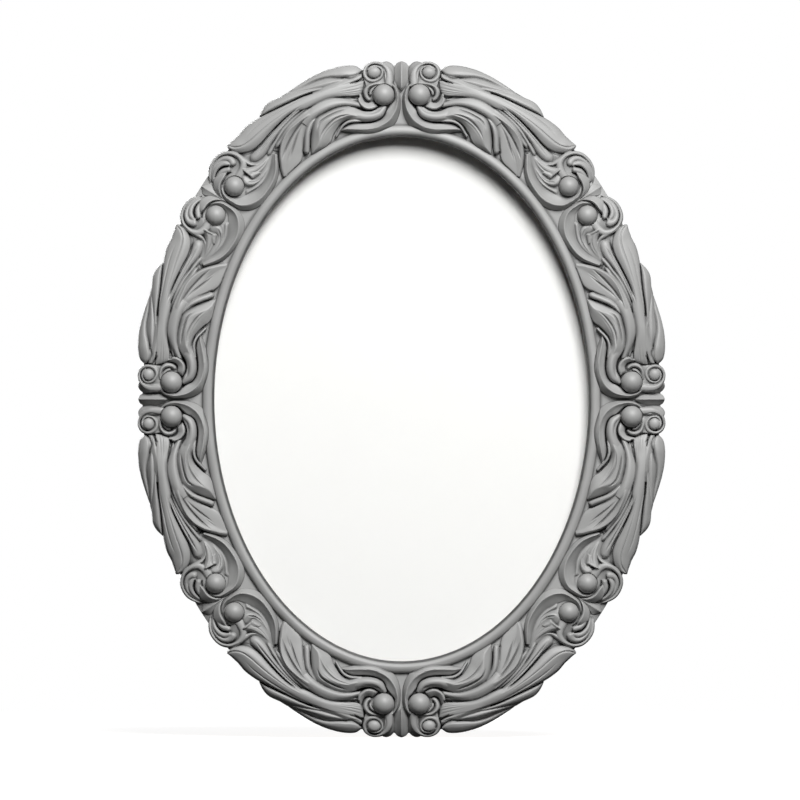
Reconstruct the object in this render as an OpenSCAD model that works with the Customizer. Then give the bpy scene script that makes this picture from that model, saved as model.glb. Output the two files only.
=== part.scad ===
// Oval picture frame with applied acanthus carving, glazed and backed, ready to hang.
// Every piece is drawn lying on its back: X to the right, Y up the frame, Z out of its face.
// The last step stands it upright, with the face towards -Y.

/* [Sight and moulding] */
// Width of the sight opening
sight_w = 250; // [220:1:300]
// Height of the sight opening
sight_h = 350; // [310:1:400]
// Width of the moulding, from the sight edge to the outer edge
band_w = 48; // [45:1:54]
// Thickness of the wooden core, from its back to the carved ground
core_t = 18; // [16:1:24]
// Width of the rounded sight bead
bead_w = 8; // [6.5:0.5:9]
// Height of the bead above the carved ground
bead_h = 3.5; // [2.5:0.5:4.5]
// Drop of the carved ground at the outer edge
ground_fall = 5; // [3:0.5:6]
// Width of the outer slope of the ground
fall_w = 12; // [9:1:15]
// Chamfer on the back outer edge
back_chamfer = 3; // [1:0.5:4]

/* [Rebate and glazing] */
// Width of the lip in front of the glass
lip_w = 5; // [4:0.5:6.5]
// Thickness of the glass
glass_t = 2; // [1.5:0.5:3]
// Thickness of the picture card
card_t = 1.5; // [0.5:0.5:2]
// Thickness of the backing board
board_t = 3.2; // [2.5:0.1:4]
// Room left round the glass, card and board in the rebate
glazing_gap = 1; // [0.5:0.25:1.5]
// Room between the backing board and the turn buttons
board_gap = 0.3; // [0.2:0.1:0.6]

/* [Carving] */
// Height of the tallest ball above the carved ground
relief_h = 11; // [9:0.5:13]
// Diameter of the larger turned ball
large_ball_d = 14.2; // [13:0.1:15]
// Diameter of the smaller turned ball
small_ball_d = 13.2; // [12:0.1:14]
// Film of glue under the carving
glue_gap = 0.05; // [0.02:0.01:0.1]
// Room between a ball and the carving round it
socket_gap = 0.15; // [0.05:0.05:0.3]

/* [Joint splines] */
// Length of a spline across the joint
spline_l = 16; // [12:1:24]
// Width of a spline along the joint
spline_w = 24; // [16:1:26]
// Thickness of a spline
spline_t = 3; // [2:0.5:4]

/* [Turn buttons] */
// Reach of a turn button's long end from its screw
button_reach = 16; // [14:1:20]
// Reach of its short end
button_tail = 5.5; // [5:0.5:6]
// Width of a turn button
button_w = 9; // [7:0.5:10]
// Thickness of a turn button
button_t = 1.5; // [1:0.1:2]
// Distance from the sight edge to a button's screw
button_v = 12; // [12:0.5:14]
// Diameter of the button screw's shank
button_screw_d = 4; // [3:0.5:4.5]

/* [Hanger] */
// Length of the hanger plate
hanger_l = 44; // [38:1:50]
// Width of the hanger plate, and of its rolled eye
hanger_w = 12; // [11:0.5:14]
// Thickness of the hanger plate
hanger_t = 1.2; // [1:0.1:1.5]
// Distance from the outer edge to the ring's axis
hanger_inset = 19; // [17:0.5:21]
// Width of the hanging ring, between the centres of its wire
ring_w = 18; // [17:0.5:19]
// Diameter of the ring's wire
wire_d = 2.2; // [1.8:0.1:2.4]
// Diameter of the hanger screw's shank
hanger_screw_d = 3.2; // [2.5:0.1:3.5]

/* [Wall bumpers] */
// Diameter of a wall bumper
bumper_d = 12; // [10:1:16]
// Height of a wall bumper
bumper_h = 6; // [5.5:0.5:8]

/* [Hidden] */
SIDES = ["top", "right", "bottom", "left"];
CORNERS = ["top_right", "bottom_right", "bottom_left", "top_left"];
// The eight repeats of the carving, clockwise from the top
PLACES = [
    "top_right", "right_top", "right_bottom", "bottom_right",
    "bottom_left", "left_bottom", "left_top", "top_left"
];
BUTTONS = ["right", "top_right", "top_left", "left", "bottom_left", "bottom_right"];
WALL_SIDES = ["left", "right"];

// Angles round the oval, in degrees from the right, of the turn buttons and the bumpers
button_angles = [0, 60, 120, 180, 240, 300];
bumper_angles = [250, 290];

// Small clearances: a turning fit, a hole for a screw, and play along a screw
turn_gap = 0.08;
hole_gap = 0.05;
slide_gap = 0.1;
overrun = 1;

// Depths
rebate_d = glass_t + card_t + board_t + board_gap;
front_z = core_t + relief_h;
middle_z = (front_z - bumper_h) / 2;
edge_z = core_t - ground_fall;

// The carving is drawn on a grid of squares, 209 along one repeat and 72 across the moulding. A
// square is these shares of the repeat's length and of the moulding's width.
square_shares = [1 / 209, 1 / 72];
// Share of a quarter's length at which the diagonal joint stands
diagonal_share = 0.505;
// Steps of the moulding's sweep along one repeat
sweep_steps = 8;

// Turned balls: place on the grid, and height of the smaller one as a share of the relief
large_ball_shares = [17.3, 43.3];
small_ball_shares = [192, 44.5];
small_top_share = 0.76;
// Height of the thin base under the carving
base_share = 0.06;
seat_z = core_t + base_share * relief_h + glue_gap;
socket_fn = 16;

// Splines: their place across the moulding as a share of its width, halfway through the core
spline_share = 0.56;
spline_v = band_w * spline_share;
spline_z = core_t / 2;

// Screws: width and height of a head as shares of its shank, and depth as a share of the core
head_width_share = 1.9;
head_height_share = 0.5;
screw_depth_share = 0.6;
screw_l = core_t * screw_depth_share;

// Hanger: the ring's axis and the rolled eye round it
eye_r = wire_d / 2 + turn_gap + hanger_t;
eye_y = sight_h / 2 + band_w - hanger_inset;
eye_z = -eye_r - hole_gap;
ring_bend_share = 1.1;
ring_bend = wire_d * ring_bend_share;
hanger_end_x = (hanger_l - hanger_w) / 2;

// Wall bumpers: their place across the moulding as a share of its width
bumper_share = 0.62;
bumper_v = band_w * bumper_share;

// The oval and the grid on it

// Point at an angle round the oval, at a distance outside the sight edge
function oval_point(angle, v) =
    let (n = [cos(angle) / sight_w, sin(angle) / sight_h])
    [sight_w / 2 * cos(angle), sight_h / 2 * sin(angle)] + v * n / norm(n);

// Direction square to the sight edge, as an angle
function oval_turn(angle) = atan2(sin(angle) / sight_h, cos(angle) / sight_w);

// Length along the middle of the moulding, from the top of the oval to its right side
arc_run = [
    for (a = 90, run = 0; a >= 0;
        run = run + norm(oval_point(a, band_w / 2) - oval_point(a - 1, band_w / 2)), a = a - 1)
    [run, a]
];
quarter_arc = arc_run[len(arc_run) - 1][0];

// A repeat starts at the top of the oval or, where side is true, at its right side
function grid_angle(u, side) = repeat_angle(u * square_shares[0], side);
function repeat_angle(share, side) =
    lookup(quarter_arc * (side ? 1 - share * (1 - diagonal_share) : share * diagonal_share), arc_run);
function grid_point(u, v, side) = oval_point(grid_angle(u, side), v * square_shares[1] * band_w);

// Sweeps and strokes

// Ring of the moulding's profile, a list of [distance from the sight edge, height]
function profile_ring(profile, angle) =
    [for (p = profile) let (q = oval_point(angle, p[0])) [q[0], q[1], p[1]]];

// Closed solid through a list of rings with equal counts
module loft(rings) {
    n = len(rings[0]);
    last = len(rings) - 1;
    polyhedron(
        points = [for (r = rings) each r],
        faces = concat(
            [[for (i = [0 : n - 1]) i]],
            [for (s = [0 : last - 1], i = [0 : n - 1], second = [0, 1])
                second == 0 ? [s * n + i, (s + 1) * n + i, (s + 1) * n + (i + 1) % n] :
                [s * n + i, (s + 1) * n + (i + 1) % n, s * n + (i + 1) % n]],
            [[for (i = [n - 1 : -1 : 0]) last * n + i]]
        )
    );
}

// One rib of carving between two points p and q of its outline: flat sides, and a crest between
// them. The two sides fall from the crest by shares of the relief.
function rib(p, q, crest, height, p_fall_share, q_fall_share) =
    let (c = p + (q - p) * crest, top = core_t + height * relief_h)
    let (p_top = max(top - p_fall_share * relief_h, edge_z + glue_gap))
    let (q_top = max(top - q_fall_share * relief_h, edge_z + glue_gap))
    [
        [p[0], p[1], edge_z], [p[0], p[1], p_top], [c[0], c[1], top],
        [q[0], q[1], q_top], [q[0], q[1], edge_z]
    ];

// Ribs through rows of shares:
// [u, v of one edge, u, v of the other edge, crest between them, height]
function share_ribs(shares, side, p_fall_share, q_fall_share) = [
    for (r = shares)
    let (p = grid_point(r[0], r[1], side), q = grid_point(r[2], r[3], side))
    rib(p, q, r[4], r[5], p_fall_share, q_fall_share)
];

function middle(points) = [for (i = [0 : 2]) (points[0][i] + points[len(points) - 1][i]) / 2];
function reversed(list) = [for (i = [len(list) - 1 : -1 : 0]) list[i]];

// A leaf or scroll as one loft through its ribs
module stroke(shares, side, p_fall_share, q_fall_share) {
    ribs = share_ribs(shares, side, p_fall_share, q_fall_share);
    across = ribs[0][4] - ribs[0][0];
    along = middle(ribs[1]) - middle(ribs[0]);
    loft(across[0] * along[1] - across[1] * along[0] > 0 ? ribs : [for (r = ribs) reversed(r)]);
}

// A lobe or finger with no hollow side, as the hull of its ribs
module lobe(shares, side, p_fall_share, q_fall_share) {
    points = [for (r = share_ribs(shares, side, p_fall_share, q_fall_share)) each r];
    hull() polyhedron(points = points, faces = [[for (i = [0 : len(points) - 1]) i]]);
}

// Leaf on an axis or a diagonal, through rows of [half width, v, height]
module symmetric_leaf(shares, kind, fall_share) {
    loft([
        for (r = shares)
        let (p = leaf_point(r[0], r[1], kind, kind == 1 ? 0 : 1))
        let (q = leaf_point(r[0], r[1], kind, kind == 1 ? 1 : 0))
        rib(p, q, 1 / 2, r[2], fall_share, fall_share)
    ]);
}

// Edge points of such a leaf: kind 0 is on the top axis, 1 on the right axis, 2 on the diagonal
function leaf_point(w, v, kind, end) =
    let (u = kind == 2 ? 1 / square_shares[0] - w : w)
    let (p = grid_point(u, v, kind == 1 || (kind == 2 && end == 1)))
    kind == 0 ? [end == 0 ? -p[0] : p[0], p[1]] :
    kind == 1 ? [p[0], end == 0 ? -p[1] : p[1]] : p;

// Profiles

// Section of the bead: half an ellipse in four steps
bead_profile = [for (a = [0 : 45 : 180]) [bead_w / 2 * (1 + cos(a)), core_t + bead_h * sin(a)]];

core_profile = concat(
    [
        [lip_w, 0], [band_w - back_chamfer, 0], [band_w, back_chamfer],
        [band_w, edge_z], [band_w - fall_w, core_t]
    ],
    bead_profile,
    [[0, rebate_d], [lip_w, rebate_d]]
);

// The same face, raised by the glue, as a solid to cut the carving with
ground_profile = concat(
    [
        [0, 0], [band_w + glue_gap, 0],
        [band_w + glue_gap, edge_z + glue_gap], [band_w - fall_w, core_t + glue_gap]
    ],
    [for (p = bead_profile) [p[0] + (p[0] > bead_w / 2 ? glue_gap : 0), p[1] + glue_gap]]
);

// Carving tables, in squares of the grid and shares of the relief

// Scroll at the axis end: its rim, from the volute round the ball to the tip on the bead
scroll_a_shares = [
    [7.5, 53.5, 9.2, 51.5, 0.5, 0.3], [1.8, 44, 5.7, 44, 0.5, 0.5], [0.9, 36, 6.8, 37.5, 0.5, 0.55],
    [1.2, 26, 11, 31, 0.4, 0.56],
    [4.5, 16.5, 15.5, 25.5, 0.4, 0.56], [14, 9.6, 20, 20.5, 0.4, 0.56],
    [28, 6.2, 29, 17.8, 0.42, 0.55], [44, 7.6, 43, 19, 0.42, 0.52],
    [58, 12.3, 54, 21.8, 0.42, 0.47], [70, 18, 68, 19.8, 0.5, 0.3]
];
// Stem from behind the ball, opening into the first leaf
leaf_a_shares = [
    [16, 30, 22, 33, 0.5, 0.3], [20, 22.5, 26, 29.5, 0.5, 0.52], [30, 18.8, 32, 28.5, 0.5, 0.62],
    [46, 21.5, 45, 34, 0.5, 0.66], [60, 26.5, 59, 41.2, 0.42, 0.72], [74, 22.5, 77, 42.3, 0.42, 0.78],
    [82, 15.5, 90, 38, 0.48, 0.74], [91, 11.7, 102, 24.5, 0.5, 0.52], [107, 11.8, 110.3, 13.5, 0.5, 0.2]
];
// Second leaf, from under the crescent to its tip on the bead
leaf_b_shares = [
    [43, 35.5, 44.5, 43, 0.5, 0.4], [58, 41, 57, 48.5, 0.5, 0.58], [74, 43, 73, 52.6, 0.5, 0.66],
    [91, 39.8, 92, 51.5, 0.45, 0.72], [106, 31.5, 115, 45.8, 0.5, 0.72],
    [116, 21, 134, 38.5, 0.5, 0.66], [125, 13.3, 145, 25, 0.5, 0.44], [138, 12, 151.5, 13.5, 0.5, 0.2]
];
// Finger between the two leaves
finger_shares = [
    [90.5, 37.5, 94, 40.5, 0.5, 0.6], [102, 26.5, 107, 31, 0.5, 0.57], [112.5, 14.5, 118, 17.5, 0.5, 0.32]
];
// Tendril that lies in the first scroll
tendril_shares = [
    [52, 22.8, 52, 25.2, 0.5, 0.5], [64, 22, 65.5, 24.5, 0.5, 0.45], [76, 13.8, 78.5, 15.5, 0.5, 0.26]
];
// Fan, narrow stem and long outer leaf
long_leaf_shares = [
    [34, 54.5, 34, 68, 0.5, 0.14], [41, 47, 43, 65.5, 0.5, 0.3], [53, 49.5, 54, 65, 0.5, 0.43],
    [70, 53.5, 71, 64.5, 0.45, 0.46], [92, 56.2, 92, 66.5, 0.4, 0.46], [120, 55.5, 120, 71.2, 0.35, 0.38],
    [147, 52.3, 147, 75, 0.35, 0.28], [159, 56, 159, 74.3, 0.35, 0.18], [166, 63, 166.5, 75, 0.5, 0.0]
];
// Three lobes along the outer edge
lobe_a_shares = [
    [33.5, 69.5, 34.5, 73, 0.5, -0.1], [42, 66, 42, 78, 0.5, 0.06], [58, 73, 60, 80.6, 0.5, 0.06],
    [83, 75, 85, 78.3, 0.5, -0.12]
];
lobe_b_shares = [
    [50, 65, 52, 68, 0.5, 0.2], [62, 64.3, 64, 73.4, 0.5, 0.3], [85, 68, 86, 78, 0.5, 0.14],
    [104, 75, 104, 77, 0.5, -0.12]
];
lobe_c_shares = [
    [76, 64.5, 78, 67, 0.5, 0.28], [96, 67.3, 98, 75.5, 0.5, 0.2], [116, 70.5, 116, 79, 0.5, 0.04],
    [128, 73, 128, 74.5, 0.5, -0.12]
];
// Fingers under the long leaf
under_shares = [
    [105, 50, 106, 57.5, 0.6, 0.42], [128, 42, 128, 54.5, 0.6, 0.42], [155, 41.5, 157, 52.5, 0.5, 0.33],
    [161.5, 43.5, 162.7, 49.5, 0.5, 0.2]
];
// Scroll at the diagonal end
scroll_b_shares = [
    [138, 33, 142.5, 37.5, 0.5, 0.44], [151, 19.7, 155, 29, 0.4, 0.42], [168, 12.3, 168.5, 24, 0.4, 0.4],
    [186, 11.2, 182.5, 25, 0.4, 0.4], [199.5, 15.7, 192.5, 29.5, 0.4, 0.4], [207.7, 28, 200, 36, 0.4, 0.38],
    [208.2, 42, 203, 42, 0.5, 0.34], [202.5, 54.3, 200.9, 51.4, 0.5, 0.14]
];
// Volute at the axis end: the turn round its eye
volute_a_shares = [
    [8.3, 54, 15.5, 55, 0.5, 0.26], [8.4, 65, 14.2, 64.5, 0.5, 0.16], [13.5, 74, 17, 71.2, 0.5, 0.02],
    [23, 77, 23.5, 73.8, 0.5, -0.06], [31.3, 71.8, 29, 69.4, 0.5, 0.02], [32.6, 62.2, 29.3, 64.1, 0.5, 0.13],
    [25.5, 57, 24.5, 60.6, 0.5, 0.2], [18, 60.3, 19.7, 62.6, 0.5, 0.18], [16, 67, 18.2, 67, 0.5, 0.08]
];
// Domed boss in the middle of the volute: place, radius and how deep its middle lies
boss_shares = [23.6, 66.5];
boss_share = 0.078;
boss_depth_share = 0.6;
// Volute at the diagonal end
volute_b_shares = [
    [201.5, 67.5, 200, 65.8, 0.5, -0.12], [193, 75.5, 191.5, 71.8, 0.5, -0.05],
    [177, 76.5, 178.5, 71.8, 0.5, -0.02], [168.3, 68, 173, 65.5, 0.5, 0.08],
    [166.5, 54.5, 174, 57, 0.5, 0.2], [181, 46, 184, 54, 0.5, 0.24]
];
petal_shares = [
    [187, 58, 187, 61.3, 0.5, 0.06], [195, 56, 195, 64.2, 0.5, 0.17], [203.5, 51.5, 206, 56.5, 0.5, 0.18],
    [207, 46, 208.2, 50, 0.5, 0.12]
];
// Crescent and hook beside the larger ball
crescent_shares = [
    [24, 33, 27, 35.5, 0.5, 0.26], [32, 29.5, 32.5, 35.5, 0.5, 0.31], [41, 35.5, 37, 39.5, 0.5, 0.32],
    [39.5, 46, 37.7, 44.5, 0.5, 0.2]
];
ear_shares = [
    [20, 55.7, 22.5, 53.8, 0.5, 0.22], [30, 55.5, 27, 50.5, 0.5, 0.26], [36, 47, 29, 46, 0.5, 0.25],
    [30, 39.8, 29.3, 42, 0.5, 0.14]
];
// Shell that fills the second scroll
shell_shares = [
    [149, 33.5, 147.5, 38.5, 0.5, 0.1], [162, 26.5, 164, 43.5, 0.5, 0.18], [178, 26, 177.5, 42, 0.5, 0.16],
    [187, 29, 184.5, 36, 0.5, 0.1]
];
// Thin base that carries all of it: it lies on the ground and follows its outer slope
base_shares = [
    [3, 20, 3, 46, 0.9, base_share], [12, 14, 12, 69, 0.81, base_share], [40, 14, 40, 69, 0.81, base_share],
    [75, 14, 75, 69, 0.8, base_share], [106, 14, 106, 69, 0.8, base_share],
    [137, 14, 137, 69, 0.8, base_share], [168, 14, 168, 69, 0.8, base_share],
    [198, 16, 198, 68, 0.8, base_share],
    [203, 19, 203, 60, 0.94, base_share]
];
// Leaves on the axes and on the diagonals: half width, v, height
axis_leaf_shares = [
    [5.2, 75.8, -0.2], [7, 71, 0.04], [7.2, 64, 0.2], [6, 54.5, 0.3], [0.7, 46, 0.26]
];
corner_leaf_shares = [
    [0.8, 71.6, -0.2], [5.4, 67.6, -0.06], [4.6, 63, 0.03], [2.6, 59.5, 0.1], [0.8, 57, 0.14]
];

// Wooden core

// Angles of the sweep's stations, counted both ways from the middle of a segment
function segment_angle(i, side) =
    let (a = repeat_angle(abs(i) / sweep_steps, side))
    side ? -sign(i) * a : 90 - sign(i) * (90 - a);

module frame_segment(k) {
    side = k % 2 == 1;
    color("silver") stand() flip(k == 3, k == 2) difference() {
        loft([for (i = [-sweep_steps : sweep_steps]) profile_ring(core_profile, segment_angle(i, side))]);
        for (m = [0, 1]) flip(!side && m == 1, side && m == 1) spline(hole_gap);
        all_screw_holes(k);
    }
}

// Only the holes that lie in this segment are drilled, in its own mirrored place
module all_screw_holes(k) {
    flip(k == 3, k == 2) {
        for (a = button_angles)
            if (in_segment(a, k)) at_oval(a, button_v) screw_hole(button_screw_d, -overrun);
        if (k == 0) hanger_screw_places() screw_hole(hanger_screw_d, -overrun);
    }
}

// True where an angle round the oval lies between the diagonals of a segment
diagonal_angle = repeat_angle(1, false);
function in_segment(a, k) =
    let (t = (a + 360) % 360)
    k == 0 ? t > diagonal_angle && t < 180 - diagonal_angle :
    k == 2 ? t > 180 + diagonal_angle && t < 360 - diagonal_angle :
    k == 3 ? t >= 180 - diagonal_angle && t <= 180 + diagonal_angle :
    t <= diagonal_angle || t >= 360 - diagonal_angle;

module screw_hole(d, from) {
    translate([0, 0, from]) cylinder(d = d + 2 * hole_gap, h = screw_l + hole_gap - from, $fn = 48);
}

// A spline lies across the joint at the top right diagonal
module spline(gap) {
    at_oval(diagonal_angle, spline_v)
        translate([0, 0, spline_z])
            cube([spline_w + 2 * gap, spline_l + 2 * gap, spline_t + 2 * gap], center = true);
}

module joint_splines() {
    color("burlywood") stand() for (x = [false, true], y = [false, true]) flip(x, y) spline(0);
}

// Applied carving

module acanthus(k) {
    side = k % 4 == 1 || k % 4 == 2;
    color("silver") stand() flip(k >= 4, k >= 2 && k <= 5) difference() {
        union() {
            stroke(base_shares, side, p_fall_share = 0, q_fall_share = 0.4);
            scrolls(side);
            leaves(side);
            volutes(side);
        }
        moulding_face(repeat_angles(side));
        ball_socket(large_ball_shares, large_ball_d, relief_h, side);
        ball_socket(small_ball_shares, small_ball_d, relief_h * small_top_share, side);
    }
}

module scrolls(side) {
    stroke(scroll_a_shares, side, p_fall_share = 0.42, q_fall_share = 0.3);
    stroke(scroll_b_shares, side, p_fall_share = 0.3, q_fall_share = 0.24);
    lobe(tendril_shares, side, p_fall_share = 0.15, q_fall_share = 0.15);
    stroke(crescent_shares, side, p_fall_share = 0.14, q_fall_share = 0.14);
    stroke(ear_shares, side, p_fall_share = 0.12, q_fall_share = 0.12);
    lobe(shell_shares, side, p_fall_share = 0.06, q_fall_share = 0.06);
}

module leaves(side) {
    stroke(leaf_a_shares, side, p_fall_share = 0.34, q_fall_share = 0.34);
    stroke(leaf_b_shares, side, p_fall_share = 0.34, q_fall_share = 0.3);
    lobe(finger_shares, side, p_fall_share = 0.16, q_fall_share = 0.16);
    stroke(long_leaf_shares, side, p_fall_share = 0.24, q_fall_share = 0.26);
    lobe(lobe_a_shares, side, p_fall_share = 0.12, q_fall_share = 0.24);
    lobe(lobe_b_shares, side, p_fall_share = 0.12, q_fall_share = 0.22);
    lobe(lobe_c_shares, side, p_fall_share = 0.12, q_fall_share = 0.22);
    lobe(under_shares, side, p_fall_share = 0.18, q_fall_share = 0.12);
}

module volutes(side) {
    stroke(volute_a_shares, side, p_fall_share = 0.12, q_fall_share = 0.1);
    stroke(volute_b_shares, side, p_fall_share = 0.14, q_fall_share = 0.1);
    lobe(petal_shares, side, p_fall_share = 0.08, q_fall_share = 0.14);
    boss_r = band_w * boss_share;
    at_grid(boss_shares, side)
        translate([0, 0, core_t - boss_r * boss_depth_share]) sphere(r = boss_r, $fn = 8);
}

// The face of the core under a list of angles round the oval
module moulding_face(angles) {
    loft([for (a = angles) profile_ring(ground_profile, a)]);
}

// Angles of the sweep's stations along one repeat, from the left or the top on
function repeat_angles(side) = [
    for (i = [0 : sweep_steps])
    repeat_angle((side ? sweep_steps - i : i) / sweep_steps, side)
];

// Room for a ball above the base that it sits on
module ball_socket(shares, d, top, side) {
    at_grid(shares, side) difference() {
        translate([0, 0, core_t + top - d / 2])
            sphere(r = (d / 2 + socket_gap) / pow(cos(180 / socket_fn), 2), $fn = socket_fn);
        translate([-d, -d, seat_z - 2 * d]) cube(2 * d);
    }
}

module axis_leaf(k) {
    kind = k % 2;
    color("silver") stand() flip(k == 3, k == 2) difference() {
        symmetric_leaf(axis_leaf_shares, kind, fall_share = 0.1);
        moulding_face([for (i = [-1 : 1]) segment_angle(i, kind == 1)]);
    }
}

module corner_leaf(k) {
    color("silver") stand() flip(k >= 2, k == 1 || k == 2) difference() {
        symmetric_leaf(corner_leaf_shares, 2, fall_share = 0.08);
        moulding_face([
            for (step = [[1, false], [0, false], [1, true]])
            repeat_angle(1 - step[0] / sweep_steps, step[1])
        ]);
    }
}

// Turned ball with a flat seat on the ground
module ball(k, shares, d, top) {
    side = k % 4 == 1 || k % 4 == 2;
    color("gainsboro") stand() flip(k >= 4, k >= 2 && k <= 5) difference() {
        at_grid(shares, side) translate([0, 0, core_t + top - d / 2]) sphere(d = d, $fn = 64);
        at_grid(shares, side) translate([-d, -d, seat_z - 2 * d]) cube(2 * d);
    }
}

// Glazing

// Angles of the sweep's stations from the right side of the oval up to just before the top
quarter_angles = concat(
    [for (i = [0 : sweep_steps]) repeat_angle(i / sweep_steps, true)],
    [for (i = [sweep_steps - 1 : -1 : 1]) repeat_angle(i / sweep_steps, false)]
);
oval_angles = concat(
    quarter_angles, [90],
    [for (a = reversed(quarter_angles)) 180 - a],
    [for (a = quarter_angles) if (a > 0) 180 + a], [270],
    [for (a = reversed(quarter_angles)) if (a > 0) 360 - a]
);

module pane(t, z) {
    translate([0, 0, z]) linear_extrude(height = t)
        polygon([for (a = oval_angles) oval_point(a, lip_w - glazing_gap)]);
}

module glass() {
    color("lightcyan", 0.4) stand() pane(glass_t, rebate_d - glass_t);
}

module picture_card() {
    color("white") stand() pane(card_t, rebate_d - glass_t - card_t);
}

module backing_board() {
    color("tan") stand() pane(board_t, board_gap);
}

// Hardware on the back

// A turn button lies with its long end over the backing board
module turn_button(k) {
    long_l = button_reach - button_w / 2;
    short_l = button_tail - button_w / 2;
    color("darkgoldenrod") stand() at_oval(button_angles[k], button_v)
        translate([0, 0, -slide_gap - button_t])
            difference() {
                union() {
                    translate([-long_l, -button_w / 2, 0]) cube([long_l + short_l, button_w, button_t]);
                    translate([-long_l, 0, 0]) cylinder(d = button_w, h = button_t, $fn = 48);
                    translate([short_l, 0, 0]) cylinder(d = button_w, h = button_t, $fn = 48);
                }
                translate([0, 0, -overrun])
                    cylinder(d = button_screw_d + 2 * turn_gap, h = button_t + 2 * overrun, $fn = 48);
            }
}

module turn_button_screws() {
    color("goldenrod") stand() for (a = button_angles) at_oval(a, button_v)
        screw(button_screw_d, button_t + 2 * slide_gap);
}

// A round headed screw, driven in from the back, with its head clear of the back by a grip
module screw(d, grip) {
    head_d = d * head_width_share;
    head_h = d * head_height_share;
    translate([0, 0, -grip]) cylinder(d = d, h = grip + screw_l, $fn = 48);
    translate([0, 0, -grip - head_h / 2]) cylinder(d = head_d, h = head_h / 2, $fn = 48);
    translate([0, 0, -grip - head_h])
        cylinder(d1 = head_d - head_h, d2 = head_d, h = head_h / 2, $fn = 48);
}

module hanger_screw_places() {
    for (x = [-hanger_end_x, hanger_end_x])
        translate([x, eye_y + hanger_w / 2, 0]) children();
}

module hanger_screws() {
    color("goldenrod") stand() hanger_screw_places()
        screw(hanger_screw_d, hanger_t);
}

// Plate with rounded ends, and a tongue rolled into an eye along its lower edge
module hanger_plate() {
    color("darkgoldenrod") stand() difference() {
        union() {
            translate([-hanger_end_x, eye_y, -hanger_t])
                cube([2 * hanger_end_x, hanger_w, hanger_t]);
            hanger_screw_places()
                translate([0, 0, -hanger_t]) cylinder(d = hanger_w, h = hanger_t, $fn = 48);
            translate([-hanger_w / 2, eye_y, eye_z]) rotate([0, 90, 0])
                cylinder(r = eye_r, h = hanger_w, $fn = 48);
        }
        translate([-hanger_w / 2 - overrun, eye_y, eye_z]) rotate([0, 90, 0])
            cylinder(d = wire_d + 2 * turn_gap, h = hanger_w + 2 * overrun, $fn = 48);
        hanger_screw_places() translate([0, 0, -hanger_t - overrun])
            cylinder(d = hanger_screw_d + 2 * hole_gap, h = hanger_t + 2 * overrun, $fn = 48);
    }
}

// D-shaped wire ring, hanging down from the eye
module hanging_ring() {
    bend_x = ring_w / 2 - ring_bend;
    color("goldenrod") stand() translate([0, eye_y, eye_z]) {
        translate([-bend_x, 0, 0]) rotate([0, 90, 0]) cylinder(d = wire_d, h = 2 * bend_x, $fn = 32);
        translate([bend_x, -ring_bend, 0]) wire_arc(ring_bend, 0, 90);
        translate([-bend_x, -ring_bend, 0]) wire_arc(ring_bend, 90, 90);
        translate([0, -ring_bend, 0]) wire_arc(ring_w / 2, 180, 180);
    }
}

module wire_arc(r, from, sweep) {
    rotate([0, 0, from]) rotate_extrude(angle = sweep, $fn = 64)
        translate([r, 0]) circle(d = wire_d, $fn = 32);
}

module wall_bumper(k) {
    color("dimgray") stand() at_oval(bumper_angles[k], bumper_v) {
        translate([0, 0, -bumper_h / 2]) cylinder(d = bumper_d, h = bumper_h / 2, $fn = 64);
        translate([0, 0, -bumper_h])
            cylinder(d1 = bumper_d - bumper_h / 2, d2 = bumper_d, h = bumper_h / 2, $fn = 64);
    }
}

// Placing

// Stands the lying frame upright, with its origin at the middle of its whole size
module stand() {
    rotate([90, 0, 0]) translate([0, 0, -middle_z]) children();
}

// Mirrors left to right, top to bottom, or both
module flip(x, y) {
    if (x && y) rotate([0, 0, 180]) children();
    else if (x) mirror([1, 0, 0]) children();
    else if (y) mirror([0, 1, 0]) children();
    else children();
}

// On the oval, with X pointing outwards
module at_oval(angle, v) {
    translate(oval_point(angle, v)) rotate([0, 0, oval_turn(angle)]) children();
}

module at_grid(shares, side) {
    translate(grid_point(shares[0], shares[1], side)) children();
}

// Pieces

for (k = [0 : 3]) {
    frame_segment(k);
    axis_leaf(k);
    corner_leaf(k);
}
for (k = [0 : 7]) {
    acanthus(k);
    ball(k, large_ball_shares, large_ball_d, relief_h);
    ball(k, small_ball_shares, small_ball_d, relief_h * small_top_share);
}
for (k = [0 : 5])
    turn_button(k);
for (k = [0 : 1])
    wall_bumper(k);
joint_splines();
glass();
picture_card();
backing_board();
turn_button_screws();
hanger_plate();
hanging_ring();
hanger_screws();
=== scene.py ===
import math

import bmesh
import bpy
import numpy as np
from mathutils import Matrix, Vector
from mathutils.bvhtree import BVHTree


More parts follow.
